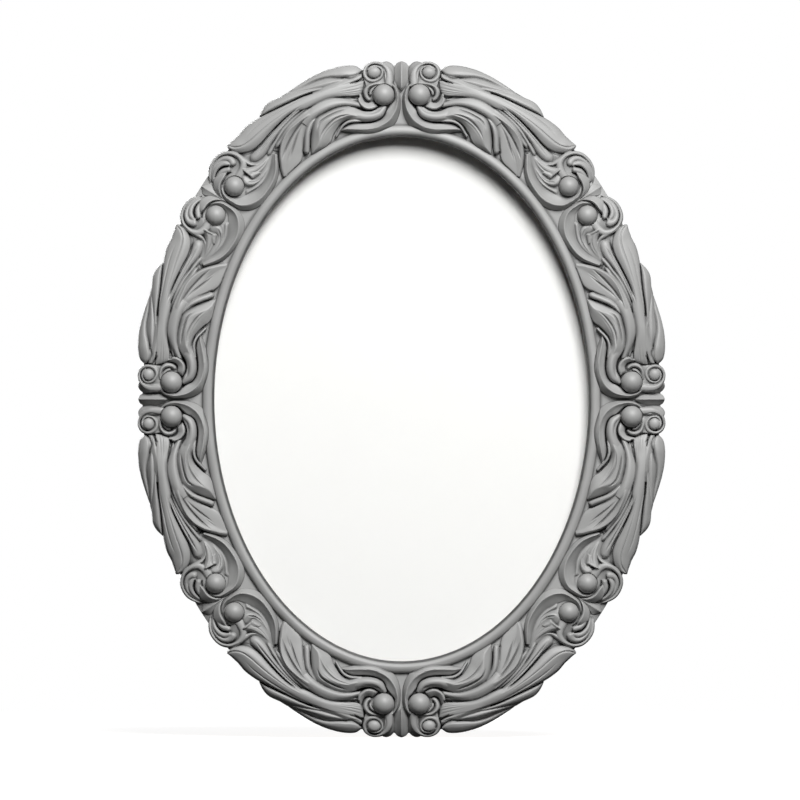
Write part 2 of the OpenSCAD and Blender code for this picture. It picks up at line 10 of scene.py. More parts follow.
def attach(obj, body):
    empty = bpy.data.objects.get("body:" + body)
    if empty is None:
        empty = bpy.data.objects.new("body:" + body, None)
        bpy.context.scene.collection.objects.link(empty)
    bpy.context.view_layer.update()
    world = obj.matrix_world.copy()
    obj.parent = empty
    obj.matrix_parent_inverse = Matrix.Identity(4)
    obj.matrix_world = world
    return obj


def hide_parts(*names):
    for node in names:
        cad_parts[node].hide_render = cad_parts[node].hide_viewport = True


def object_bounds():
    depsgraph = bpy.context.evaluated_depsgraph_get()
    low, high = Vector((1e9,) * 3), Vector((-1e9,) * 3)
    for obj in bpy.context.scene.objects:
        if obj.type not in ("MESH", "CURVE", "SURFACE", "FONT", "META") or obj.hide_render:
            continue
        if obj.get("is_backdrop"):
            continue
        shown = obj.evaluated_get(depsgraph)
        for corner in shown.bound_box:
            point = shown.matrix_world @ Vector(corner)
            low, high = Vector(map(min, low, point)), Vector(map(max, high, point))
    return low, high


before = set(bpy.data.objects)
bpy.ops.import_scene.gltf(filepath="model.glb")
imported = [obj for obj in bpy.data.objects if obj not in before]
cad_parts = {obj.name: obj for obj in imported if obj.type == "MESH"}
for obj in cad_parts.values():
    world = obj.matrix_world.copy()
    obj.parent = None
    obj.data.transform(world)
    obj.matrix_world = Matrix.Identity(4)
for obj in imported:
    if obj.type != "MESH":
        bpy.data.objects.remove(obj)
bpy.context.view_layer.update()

# A millimetre, in metres
MM = 0.001

# Sizes of the moulding, in millimetres, as the pieces were drawn
SIGHT_W = 250.0
SIGHT_H = 350.0
BAND_W = 48.0
CORE_T = 18.0
BEAD_W = 8.0
BEAD_H = 3.5
BEAD_INNER_H = 7.0
GROUND_FALL = 5.0
FALL_W = 12.0
BACK_CHAMFER = 3.0
LIP_W = 5.0
REBATE_D = 7.0
# Where the moulding's back lies along Y, and the height of its outer edge over the back
BACK_Y = 11.5
EDGE_Z = CORE_T - GROUND_FALL

# The carving is drawn on a grid: squares along one repeat, and squares across the moulding
GRID_U = 209.0
GRID_V = 72.0
SQUARE = BAND_W / GRID_V
# Share of a quarter of the band that lies between the top and the diagonal
DIAGONAL_SHARE = 0.505

# Glue under the carvings and balls, and the gap round a ball in its socket
GLUE = 0.05
SOCKET_GAP = 0.05

# Places closer than this, in millimetres or squares of the grid, count as one
TOUCH = 1e-4

# The eight carvings
PLACES = (
    "top_right", "right_top", "right_bottom", "bottom_right",
    "bottom_left", "left_bottom", "left_top", "top_left",
)

# The oval, and the grid on it

def full_turn(steps):
    """Angles all the way round, in radians."""
    return np.linspace(0, 2 * math.pi, steps, endpoint=False)


def oval_points(angles, out):
    """Points at angles round the oval, in radians, at distances outside the sight edge."""
    c, s = np.cos(angles), np.sin(angles)
    n = np.stack([c / SIGHT_W, s / SIGHT_H], -1)
    n /= np.linalg.norm(n, axis=-1, keepdims=True)
    return np.stack([SIGHT_W / 2 * c, SIGHT_H / 2 * s], -1) + n * np.asarray(out)[..., None]


def arc_table():
    """Angles from the top of the oval to its right side, and the length along the band's middle."""
    angles = np.linspace(math.pi / 2, 0, 721)
    points = oval_points(angles, np.full(angles.shape, BAND_W / 2))
    steps = np.linalg.norm(np.diff(points, axis=0), axis=1)
    return angles, np.concatenate([[0], np.cumsum(steps)])


ARC_ANGLES, ARC_LENGTHS = arc_table()


def grid_angles(u, side):
    """Angles of grid columns. A repeat starts at the top or, where side is true, at the right."""
    share = np.asarray(u, float) / GRID_U
    run = 1 - share * (1 - DIAGONAL_SHARE) if side else share * DIAGONAL_SHARE
    return np.interp(run * ARC_LENGTHS[-1], ARC_LENGTHS, ARC_ANGLES)


def bead_height(v):
    """Height of the sight bead over the ground, v squares from the sight edge."""
    x = np.clip(np.asarray(v, float) * SQUARE / (BEAD_W / 2) - 1, -1, 1)
    return BEAD_H * np.sqrt(1 - x * x)


def ground_height(v):
    """Height of the moulding's face over its flat ground: the bead, the ground, the outer slope."""
    out = np.asarray(v, float) * SQUARE
    slope = np.clip((out - (BAND_W - FALL_W)) / FALL_W, 0, 1)
    return bead_height(v) - GROUND_FALL * slope


def place_points(u, v, h, place):
    """Grid places with heights over the flat ground, as points of the standing frame in metres."""
    k = PLACES.index(place)
    flat = oval_points(grid_angles(u, k % 4 in (1, 2)), np.asarray(v) * SQUARE)
    x = -flat[..., 0] if k >= 4 else flat[..., 0]
    z = -flat[..., 1] if 2 <= k <= 5 else flat[..., 1]
    return np.stack([x, BACK_Y - CORE_T - h, z], -1) * MM


# Strokes of carving

# How a section falls from its crest, 0, to its edge, 1, as points or as a power
ROUND = ((0, 0), (0.35, 0.06), (0.6, 0.2), (0.8, 0.42), (0.93, 0.7), (1, 1))
TENT = ((0, 0), (0.1, 0.08), (0.3, 0.32), (0.6, 0.64), (1, 1))
CREST = ((0, 0), (0.12, 0.06), (0.35, 0.26), (0.7, 0.62), (0.9, 0.82), (1, 1))
RIM = ((0, 0), (0.3, 0.08), (0.6, 0.26), (0.84, 0.46), (0.94, 0.64), (1, 1))
COVE = ((0, 0), (0.1, 0.16), (0.4, 0.58), (0.8, 0.98), (1, 1.15))
SHOULDER = ((0, 0), (0.12, 0.2), (0.26, 0.46), (0.4, 0.53), (0.7, 0.6), (0.9, 0.74), (1, 1))
GROOVE = ((0, 0), (0.3, 0.12), (0.6, 0.5), (1, 1))
SOFT = 2

# Distance between points of a smooth curve: in a fall, along a leaf and along a bar
FALL_STEP = 0.02
LEAF_STEP = 0.9
BAR_STEP = 0.35

# Round ends and bosses stop this share of the way to their rim, where they would be upright
ROUND_SHARE = 0.999

# A height over every sheet, one for places without a sheet, and one below the moulding's face
SKY = 100.0
NO_SHEET = -100.0
SUNK = -1.0


def fall(x, shape):
    """Share of the fall at shares x of the way from the crest to the edge."""
    if isinstance(shape, (int, float)):
        return x ** shape
    at, drop = np.array(shape, float).T
    rows = smooth(np.stack([at, drop], 1), np.stack([at, drop], 1), FALL_STEP)
    return np.interp(x, rows[:, 0], rows[:, 1])


def smooth(rows, places, step):
    """Rows of numbers along a smooth curve through the given rows, about a step apart."""
    gaps = np.sqrt(np.linalg.norm(np.diff(places, axis=0), axis=1))[:, None]
    slopes = np.diff(rows, axis=0) / gaps
    tangents = np.empty_like(rows)
    tangents[0], tangents[-1] = slopes[0], slopes[-1]
    tangents[1:-1] = (slopes[:-1] * gaps[1:] + slopes[1:] * gaps[:-1]) / (gaps[1:] + gaps[:-1])
    out = []
    for i, gap in enumerate(gaps[:, 0]):
        x = np.linspace(0, 1, max(3, math.ceil(gap * gap / step)), endpoint=False)[:, None]
        out.append(
            rows[i] * (2 * x**3 - 3 * x**2 + 1) + rows[i + 1] * (3 * x**2 - 2 * x**3)
            + tangents[i] * gap * (x**3 - 2 * x**2 + x) + tangents[i + 1] * gap * (x**3 - x**2)
        )
    return np.vstack(out + [rows[-1:]])


def sheet_faces(count, width, base):
    """Four-sided faces between count rows of width points each."""
    i, j = np.meshgrid(np.arange(count - 1), np.arange(width - 1), indexing="ij")
    a = (base + i * width + j).ravel()
    return np.stack([a, a + 1, a + width + 1, a + width], -1)


class Relief:
    """Sheets of carving over the grid. The highest one counts at each place."""

    def __init__(self):
        self.points = []
        self.faces = []
        self.count = 0

    def sheet(self, points):
        """Adds a sheet through rows of points."""
        rows, width = points.shape[:2]
        self.points.append(points.reshape(-1, 3))
        self.faces.append(sheet_faces(rows, width, self.count))
        self.count += rows * width

    def leaf(self, rows, near=SOFT, far=SOFT, across=33):
        """A leaf through rows of [u, v, height of one edge, u, v, height of the other,
        share of the way to the crest, height of the crest]."""
        rows = np.array(rows, float)
        r = smooth(rows, (rows[:, 0:2] + rows[:, 3:5]) / 2, LEAF_STEP)[:, None, :]
        x = np.linspace(-1, 1, across)
        crest = r[..., 6]
        share = np.where(x < 0, crest * (1 + x), crest + (1 - crest) * x)
        drop = np.where(x < 0, fall(np.maximum(-x, 0), near), fall(np.maximum(x, 0), far))
        edge = np.where(x < 0, r[..., 2], r[..., 5])
        u = r[..., 0] + (r[..., 3] - r[..., 0]) * share
        v = r[..., 1] + (r[..., 4] - r[..., 1]) * share
        self.sheet(np.stack([u, v, r[..., 7] - (r[..., 7] - edge) * drop], -1))

    def bar(self, rows, depth, shape=ROUND, ends=(False, False), across=17):
        """A bar along rows of [u, v, width, height], whose sides fall by a depth. Its ends can
        be round."""
        rows = np.array(rows, float)
        r = smooth(rows, rows[:, 0:2], BAR_STEP)
        way = np.gradient(r[:, 0:2], axis=0)
        way /= np.linalg.norm(way, axis=1, keepdims=True)
        left = np.stack([-way[:, 1], way[:, 0]], -1)
        run = np.concatenate([[0], np.cumsum(np.linalg.norm(np.diff(r[:, 0:2], axis=0), axis=1))])
        width, height = r[:, 2].copy(), r[:, 3].copy()
        for is_round, reach in zip(ends, (run, run[-1] - run)):
            if is_round:
                x = np.clip(1 - reach / (width / 2), 0, 1)
                height -= depth * fall(x, shape)
                width *= np.sqrt(1 - np.minimum(x, ROUND_SHARE) ** 2)
        x = np.linspace(-1, 1, across)
        spread = left[:, None, :] * (x[None, :] * width[:, None] / 2)[..., None]
        z = height[:, None] - (depth * fall(np.abs(x), shape))[None, :] * np.ones((len(r), 1))
        for is_round, reach in zip(ends, (run, run[-1] - run)):
            if is_round:
                near_end = np.clip(1 - reach / (r[:, 2] / 2), 0, 1)[:, None]
                z = np.maximum(z, height[:, None] - depth * (1 - near_end))
        self.sheet(np.concatenate([r[:, None, 0:2] + spread, z[..., None]], -1))

    def dome(self, u, v, radius, top, depth):
        """A round boss."""
        r = np.linspace(0, 1, 17)[:, None]
        a = np.linspace(0, 2 * math.pi, 49)[None, :]
        z = top - depth * (1 - np.sqrt(1 - np.minimum(r, ROUND_SHARE) ** 2))
        points = [u + radius * r * np.cos(a), v + radius * r * np.sin(a), z + 0 * a]
        self.sheet(np.stack(points, -1))

    def heights(self, u, v, empty=NO_SHEET):
        """Heights of the highest sheet over a grid, and empty where there is none."""
        tree = BVHTree.FromPolygons(np.vstack(self.points).tolist(), np.vstack(self.faces).tolist())
        down = Vector((0, 0, -1))
        out = np.full((len(u), len(v)), empty)
        for i, x in enumerate(u.tolist()):
            for j, y in enumerate(v.tolist()):
                hit = tree.ray_cast((x, y, SKY), down)[0]
                if hit is not None:
                    out[i, j] = hit.z
        return out


# One repeat of the carving, from the axis to the diagonal

LARGE_BALL = (17.3, 43.3)
LARGE_BALL_R = 7.1
LARGE_BALL_TOP = 11.0
SMALL_BALL = (192.0, 44.5)
SMALL_BALL_R = 6.6
SMALL_BALL_TOP = 8.36

# Height of the carving's base over the moulding's face
BASE_H = 0.5


def carve_base(relief):
    """The thin base that carries the carving, and the beds that fill it up between the leaves."""
    u = np.linspace(3, 204, 100)
    v = np.linspace(0, 1, 40)
    low = np.interp(
        u, [3, 9, 20, 45, 58, 68, 80, 100, 112, 122, 140, 151, 162, 190, 204],
        [26, 19, 15, 15, 19, 25, 20, 20, 27, 24, 18, 27, 18, 18, 26],
    )
    high = np.interp(u, [3, 9, 20, 190, 204], [48, 68, 70, 70, 58])
    uu = np.repeat(u[:, None], len(v), 1)
    vv = low[:, None] + (high - low)[:, None] * v[None, :]
    relief.sheet(np.stack([uu, vv, ground_height(vv) + BASE_H], -1))
    relief.leaf([
        (36, 60, 0.2, 36, 73, -2.6, 0.5, -0.6), (50, 58, 1.6, 50, 76, -3.2, 0.5, 0.2),
        (75, 56, 3.0, 75, 76, -3.2, 0.5, 0.8), (100, 54, 2.6, 100, 75, -3.2, 0.5, 0.6),
        (127, 50, 1.4, 127, 72, -3.0, 0.5, 0.0),
    ], near=1, far=1)
    relief.leaf([
        (40, 34, 2.0, 40, 46, 0.6, 0.5, 1.6), (55, 36, 4.0, 55, 52, 2.0, 0.5, 3.6),
        (75, 38, 5.0, 75, 56, 3.2, 0.5, 4.6), (100, 30, 3.6, 104, 54, 2.4, 0.5, 3.6),
        (112, 20, 2.0, 132, 46, 1.0, 0.5, 2.2), (128, 26, 0.9, 143, 42, 0.9, 0.5, 1.5),
    ], near=1, far=1)
    relief.leaf([
        (140, 36, 1.0, 141, 41, 1.0, 0.5, 1.2),
        (146, 34, 1.2, 148, 41, 1.2, 0.5, 1.5), (160, 27, 1.4, 162, 46, 1.4, 0.5, 1.9),
        (176, 25, 1.2, 176, 50, 1.4, 0.5, 2.0), (190, 30, 0.2, 186, 46, 0.6, 0.5, 0.8),
    ], near=1, far=1)
    relief.leaf([
        (24, 75.6, -4.6, 23, 76, -4.6, 0.5, -4.5), (16, 72, -1.6, 31, 72, -1.6, 0.5, -1.3),
        (13, 66, 0.4, 33, 66, 0.4, 0.5, 0.7), (12, 60, 1.4, 33, 60, 1.4, 0.5, 1.6),
        (12, 54, 1.8, 33, 54, 1.8, 0.5, 2.1), (18, 48, 2.0, 35, 48, 2.0, 0.5, 2.4),
    ], near=1, far=1)
    relief.leaf([
        (183, 75.6, -4.6, 182, 76, -4.6, 0.5, -4.5), (173, 71, -2.4, 195, 71, -2.6, 0.5, -2.0),
        (169, 65, -0.8, 199, 65, -1.6, 0.5, -0.4), (167, 58, 0.6, 200, 58, -0.4, 0.5, 0.8),
        (170, 50, 1.2, 190, 50, 1.0, 0.5, 1.6),
    ], near=1, far=1)


def carve_scroll_a(relief):
    """The scroll at the axis, round the larger ball, and the stem and tendril inside it."""
    relief.leaf([
        (8.6, 54.4, 2.4, 9.8, 53.2, 3.2, 0.5, 4.2), (3.6, 48.2, 1.4, 7.2, 48.8, 4.0, 0.5, 5.6),
        (1.2, 42, 0.8, 6.4, 43, 4.4, 0.5, 6.6), (0.9, 35, 0.6, 6.9, 37, 4.4, 0.5, 7.1),
        (1.3, 27, 0.6, 12, 31.5, 4.4, 0.4, 7.4), (4.6, 17.5, 0.6, 16, 27, 4.4, 0.46, 7.6),
        (9.8, 11.8, 1.0, 18.2, 23, 4.4, 0.52, 7.6), (20, 7.8, 2.2, 23.5, 19.2, 4.3, 0.52, 7.6),
        (33, 6, 2.8, 33, 17.6, 4.3, 0.48, 7.5), (45, 7.6, 2.6, 44, 18.8, 4.3, 0.48, 7.2),
        (57, 12, 1.2, 55, 21.7, 4.0, 0.42, 6.6), (66, 16.4, 0.8, 64, 20.8, 3.6, 0.5, 5.4),
        (70.6, 18.7, 0.6, 69.8, 19.3, 1.6, 0.5, 3.0),
    ], near=CREST, far=COVE)
    relief.bar([
        (44, 21.2, 2.4, 5.8), (50, 22.8, 3.0, 6.9), (57, 24.1, 3.1, 7.4), (63, 23.4, 3.0, 7.2),
        (68, 21.2, 2.9, 6.4), (72.5, 18.1, 3.0, 5.3), (78, 14.8, 3.0, 4.2),
    ], 2.4, ends=(False, True))


def carve_leaf_a(relief):
    """The first leaf, which grows from the stem behind the larger ball."""
    relief.leaf([
        (15.2, 30.8, 2.4, 17.5, 33, 3.2, 0.5, 5.0), (16.8, 26.4, 2.4, 23, 31.5, 3.6, 0.44, 6.6),
        (20.5, 21.4, 2.6, 28, 29.5, 4.0, 0.46, 7.6), (28, 18.7, 2.8, 33, 28.9, 4.4, 0.48, 8.2),
        (38, 18.9, 3.0, 40, 30.5, 5.0, 0.45, 8.3), (48, 21.7, 2.8, 46.5, 35, 4.2, 0.42, 7.9),
        (58, 25.4, 2.4, 55, 39.6, 3.0, 0.42, 6.8),
    ], near=ROUND, far=SOFT)
    relief.leaf([
        (38, 19.4, 2.0, 40, 30, 4.0, 0.45, 6.6), (48, 21.7, 3.2, 46.5, 35, 4.8, 0.42, 8.0),
        (57, 25.4, 3.8, 54, 39.6, 4.8, 0.42, 8.7),
        (66, 25, 3.8, 65, 42.2, 4.8, 0.5, 9.0), (74, 21, 3.8, 77, 42.4, 4.8, 0.62, 9.0),
        (79.5, 17.2, 3.8, 86, 40.6, 5.6, 0.7, 8.8), (84, 13.2, 3.4, 93.5, 36, 5.0, 0.66, 8.4),
        (91, 11.2, 3.0, 100.5, 28.4, 3.8, 0.5, 7.4), (101, 11.1, 2.8, 106.6, 20.2, 2.8, 0.36, 5.8),
        (110, 11.5, 2.4, 110.8, 12.7, 2.0, 0.5, 3.2),
    ], near=1.6, far=1.15, across=41)
    relief.bar([
        (86.5, 41.2, 1.6, 6.2), (90, 39.9, 2.8, 7.4), (95, 37.4, 4.4, 8.0), (100.5, 33.2, 5.6, 8.2),
        (106.2, 26.6, 6.0, 7.6), (111.5, 19.8, 6.2, 6.6), (115.8, 15.4, 6.2, 5.6),
    ], 2.6, ends=(False, True))


def carve_leaf_b(relief):
    """The second leaf, from under the crescent to its tip on the bead."""
    relief.leaf([
        (41.5, 34.5, 2.8, 43, 40.5, 2.0, 0.5, 4.6), (50, 38, 3.6, 50, 45.2, 2.2, 0.5, 6.0),
        (58, 41, 4.6, 58, 49.6, 3.2, 0.4, 7.2), (68, 42.2, 5.2, 67, 53.0, 4.0, 0.36, 8.2),
        (80, 41.8, 5.4, 79, 53.6, 4.8, 0.4, 8.8), (90, 39.8, 5.0, 93, 51.8, 4.4, 0.5, 8.8),
        (98, 35.8, 4.0, 104, 49.6, 3.0, 0.6, 7.6),
    ], near=ROUND, far=RIM, across=41)
    relief.leaf([
        (77, 42.2, 3.6, 77, 52.4, 3.0, 0.5, 6.0), (90, 39.8, 5.2, 93, 51.8, 4.2, 0.56, 8.9),
        (99, 35.4, 4.6, 106, 49.0, 3.4, 0.78, 8.8), (107.5, 28, 4.2, 118, 46.0, 2.8, 0.9, 8.2),
        (114.5, 21.0, 3.8, 129, 40.6, 2.0, 0.93, 7.2), (119.5, 16.5, 3.4, 138, 33.4, 1.4, 0.92, 6.2),
        (126, 12.6, 3.2, 144.5, 25.6, 1.2, 0.88, 5.2), (137, 11.6, 3.0, 149.6, 18.6, 1.2, 0.8, 4.2),
        (149, 11.4, 2.8, 152.4, 13.0, 1.4, 0.5, 3.2),
    ], near=SHOULDER, far=RIM, across=49)


def carve_long_leaf(relief):
    """The fan behind the volute, the narrow stem and the long outer leaf."""
    relief.leaf([
        (34.3, 63.2, 0.6, 34, 68, -0.4, 0.5, 1.2), (38, 61.9, 2.0, 38, 67.5, 0.6, 0.3, 2.8),
        (46, 60.6, 3.8, 46, 67.6, 1.4, 0.3, 4.0), (56, 60, 5.0, 56, 66.4, 2.4, 0.3, 5.0),
        (66, 59.5, 5.6, 66, 65.6, 3.4, 0.3, 5.6), (80, 59.8, 5.6, 80, 65.8, 3.2, 0.3, 5.4),
    ], near=1.5, far=1.2)
    relief.leaf([
        (35.8, 50.6, 0.6, 33.3, 60.3, 0.6, 0.4, 1.8), (39, 47.4, 1.6, 37.5, 60.7, 2.0, 0.36, 3.4),
        (45, 47.2, 2.8, 44, 60.4, 3.6, 0.34, 4.6), (52, 49.2, 3.6, 52, 61, 4.6, 0.34, 5.3),
        (60, 51.2, 4.0, 60, 62, 5.2, 0.4, 6.0), (68, 52.6, 4.2, 68, 62.8, 5.2, 0.46, 6.4),
        (76, 52.8, 4.4, 76, 63.6, 4.4, 0.5, 6.5), (90, 53.4, 4.2, 90, 66, 2.8, 0.46, 6.4),
        (105, 57.0, 3.2, 105, 67.8, 1.8, 0.34, 6.1), (120, 55.8, 2.6, 120, 70.8, 0.2, 0.3, 5.8),
        (133, 54.1, 2.0, 133, 74, -2.4, 0.28, 5.2), (145, 52.6, 1.2, 145, 75.4, -3.8, 0.3, 4.5),
        (154.6, 53.8, 0.4, 153.6, 74.6, -3.8, 0.34, 3.7), (161.2, 57.8, -0.2, 160, 74.9, -3.6, 0.4, 2.8),
        (165.6, 62.4, -1.4, 164, 75.3, -2.8, 0.42, 1.5), (167.8, 68.5, -2.4, 166.2, 75.8, -3.0, 0.5, 0.2),
        (168, 73.6, -3.2, 167, 75.9, -3.4, 0.5, -1.8),
    ], near=RIM, far=RIM, across=41)
    for rows in (
        [(43.4, 43.0, 1.8, 2.6), (50, 45.2, 2.0, 3.6), (57, 48.3, 1.9, 4.3), (63, 51.2, 1.5, 4.7)],
        [(46.6, 41.0, 1.8, 3.2), (52, 43.4, 2.0, 4.2), (58, 46.7, 1.9, 4.8), (64, 50.3, 1.4, 5.0)],
        [(50.4, 41.0, 1.6, 4.0), (55.6, 43.6, 1.8, 4.8), (61, 47.6, 1.6, 5.2)],
    ):
        relief.bar(rows, 1.4, ends=(True, False))


def carve_lobes(relief):
    """The three lobes along the outer edge."""
    relief.leaf([
        (33.5, 70.2, -2.4, 33.8, 71.6, -3.0, 0.5, -1.2), (36.5, 67.4, -1.0, 37, 75.8, -4.0, 0.3, 1.1),
        (42, 65.8, 0.0, 42, 78.2, -4.4, 0.28, 2.5), (48, 67.4, 0.6, 48, 79.6, -4.6, 0.28, 2.8),
        (54, 69.2, 0.4, 54, 80.3, -4.7, 0.3, 2.2), (62, 72.4, -0.6, 62, 80.6, -4.7, 0.36, 1.0),
        (72, 74.4, -1.6, 72, 80.2, -4.7, 0.4, -0.4), (85, 74.8, -2.4, 85, 78.8, -4.8, 0.4, -1.6),
        (97, 76.2, -3.6, 97, 77.4, -4.8, 0.5, -3.0),
    ], near=SOFT, far=RIM)
    relief.leaf([
        (48.5, 65.0, 1.4, 49, 66.8, 0.8, 0.5, 2.2), (55, 64.3, 2.2, 55, 70.0, -0.4, 0.4, 3.4),
        (62, 64.4, 2.8, 62, 73.4, -1.2, 0.36, 3.9), (70, 65.4, 2.6, 70, 74.8, -1.8, 0.36, 3.6),
        (80, 68, 1.4, 80, 75.4, -2.6, 0.36, 2.6), (90, 71.2, -0.2, 90, 76.5, -3.4, 0.4, 1.0),
        (98, 74.4, -2.0, 99, 77.4, -4.4, 0.42, -0.8), (107, 76.8, -3.6, 107, 77.5, -4.6, 0.5, -2.8),
    ], near=SOFT, far=1.5)
    relief.leaf([
        (70, 64.0, 2.8, 70.5, 66.2, 2.4, 0.5, 3.6), (80, 65.8, 2.0, 80, 69.0, 1.2, 0.4, 3.8),
        (90, 66.9, 1.4, 90, 72.3, -0.2, 0.36, 3.7), (100, 67.7, 1.0, 100, 75.9, -2.8, 0.34, 3.3),
        (108, 68.9, 0.6, 108, 78, -4.4, 0.34, 2.6), (116, 70.5, -0.2, 116, 79.4, -4.7, 0.34, 1.5),
        (123, 72.1, -1.4, 122.5, 78, -4.7, 0.38, 0.2), (129.6, 73.4, -3.0, 129.6, 74, -3.8, 0.5, -2.2),
    ], near=SOFT, far=RIM)


def carve_fingers(relief):
    """The three fingers between the long leaf and the second leaf."""
    relief.leaf([
        (88, 56.4, 3.4, 89, 57.8, 3.6, 0.5, 4.0), (94, 55.2, 3.0, 95, 57.8, 3.4, 0.5, 4.9),
        (102, 53.8, 2.6, 103, 57.5, 3.2, 0.5, 5.4),
        (113, 51.5, 1.8, 114, 56.4, 2.8, 0.5, 5.6), (125, 48.2, 1.2, 125, 54.4, 2.4, 0.5, 5.4),
        (137, 44.6, 0.6, 137, 52.5, 1.8, 0.5, 5.0), (147, 41.2, 0.0, 147, 51.4, 1.0, 0.5, 4.4),
        (155, 40.6, -0.6, 155, 51.8, 0.6, 0.5, 3.9), (160.5, 42.4, -0.8, 160, 51.6, 0.0, 0.5, 3.0),
        (163.2, 46.0, -0.8, 163.1, 48.8, -0.6, 0.5, 1.0),
    ], near=ROUND, far=ROUND)
    relief.leaf([
        (86, 53.2, 3.4, 87, 54.6, 3.4, 0.5, 4.0), (95, 51.9, 3.0, 96, 54.4, 3.2, 0.5, 4.9),
        (108, 49.2, 2.4, 109, 52.9, 2.8, 0.5, 5.2),
        (120, 46.4, 1.4, 121, 50.1, 2.0, 0.5, 5.0), (130, 43.1, 0.8, 131, 46.5, 1.4, 0.5, 4.5),
        (139, 39.6, 0.2, 140.5, 43.7, 0.8, 0.5, 3.8), (145, 37.8, -0.2, 147, 41.0, 0.2, 0.5, 3.0),
        (147.6, 38.5, -0.4, 148, 39.6, -0.2, 0.5, 1.3),
    ], near=ROUND, far=ROUND)
    relief.leaf([
        (84, 50.6, 5.6, 85, 52.8, 5.0, 0.5, 6.4), (92, 49.4, 5.6, 93, 52.4, 4.4, 0.5, 7.3),
        (102, 47.0, 5.0, 104, 50.9, 3.4, 0.5, 7.1), (114, 43.9, 3.4, 116, 48.7, 2.4, 0.5, 6.3),
        (125, 40.1, 1.6, 127, 44.9, 1.2, 0.5, 5.0), (133, 37.8, 0.8, 135, 41.6, 0.8, 0.5, 3.8),
        (137, 38.0, -0.2, 137.6, 39.6, 0.0, 0.5, 1.6),
    ], near=SOFT, far=ROUND)


def carve_volute_a(relief):
    """The volute at the axis, with its boss, and the side leaf behind it."""
    relief.bar([
        (11.8, 49, 6.6, 4.8), (11.5, 54.4, 7.4, 4.7), (11.2, 60, 7.6, 4.2), (11.4, 65, 7.0, 3.6),
        (13.2, 70, 5.6, 2.5), (16.6, 73.8, 3.8, 1.2), (20.5, 75.8, 2.7, 0.3), (25, 75.9, 2.6, 0.0),
        (29, 73.6, 3.0, 0.6), (31.4, 69.5, 3.2, 1.5), (31.6, 65, 3.4, 2.3), (29.6, 60.6, 3.9, 3.0),
        (25.6, 58.4, 3.6, 3.3), (21.4, 59.0, 3.0, 3.3), (17.9, 61.6, 2.6, 3.1), (16.4, 65.6, 2.3, 2.7),
        (16.9, 69.3, 2.2, 2.3), (19.4, 72.0, 2.2, 2.1), (22.8, 73.0, 2.2, 2.1), (26.0, 72.0, 2.2, 2.3),
        (28.4, 69.4, 2.0, 2.6),
    ], 1.9)
    relief.dome(23.4, 66.5, 5.6, 4.6, 2.3)
    relief.leaf([
        (4.2, 56, -3.0, 8.4, 56, 0.8, 0.85, 1.2), (4.4, 60, -3.4, 8.4, 60, 0.6, 0.85, 1.0),
        (4.6, 65, -3.8, 8.6, 65, 0.2, 0.85, 0.7), (6.2, 71, -4.2, 11, 70.5, -0.4, 0.8, 0.2),
        (8.8, 74.8, -4.4, 14, 73, -1.0, 0.75, -0.6), (12, 76.6, -4.6, 15.6, 74.8, -1.8, 0.7, -1.4),
        (15, 76.2, -4.6, 16, 75.2, -3.0, 0.5, -2.6),
    ], near=1.1, far=1.5)


def carve_ear(relief):
    """The crescent and the ear between the larger ball and the fan."""
    relief.leaf([
        (24, 32.0, 1.0, 26, 34.6, 2.4, 0.4, 3.8), (29.5, 29.8, 1.0, 28.3, 37.6, 2.4, 0.3, 5.2),
        (36, 30.6, 1.0, 33, 37.6, 2.4, 0.28, 5.6), (40.8, 34.6, 0.8, 36.2, 39.5, 2.4, 0.28, 5.6),
        (43.0, 39.8, 0.6, 37.6, 43, 2.2, 0.28, 5.3), (42.5, 44.2, 0.4, 37.8, 46, 1.8, 0.32, 4.6),
        (39.8, 47.6, 0.2, 38, 48, 0.8, 0.5, 2.8),
    ], near=ROUND, far=1.4)
    relief.bar([
        (19.6, 54.6, 2.2, 3.2), (25, 55.0, 2.6, 4.0), (30.4, 53.4, 3.4, 4.4), (33.6, 49.6, 4.4, 4.4),
        (34.0, 44.8, 4.2, 4.0), (32.4, 41.4, 3.8, 3.6), (30, 40.2, 3.0, 3.2),
    ], 2.4, ends=(False, True))
    relief.bar([
        (21.5, 52.6, 1.8, 3.4), (26, 50.9, 2.4, 4.0), (29.0, 48.2, 2.8, 4.1), (30.0, 44.6, 2.8, 3.9),
    ], 1.6, ends=(False, True))
    relief.bar([
        (22.5, 50.8, 1.6, 2.8), (25.6, 48.6, 1.8, 3.2), (27.6, 45.6, 1.6, 3.0),
    ], 1.2, ends=(False, True))


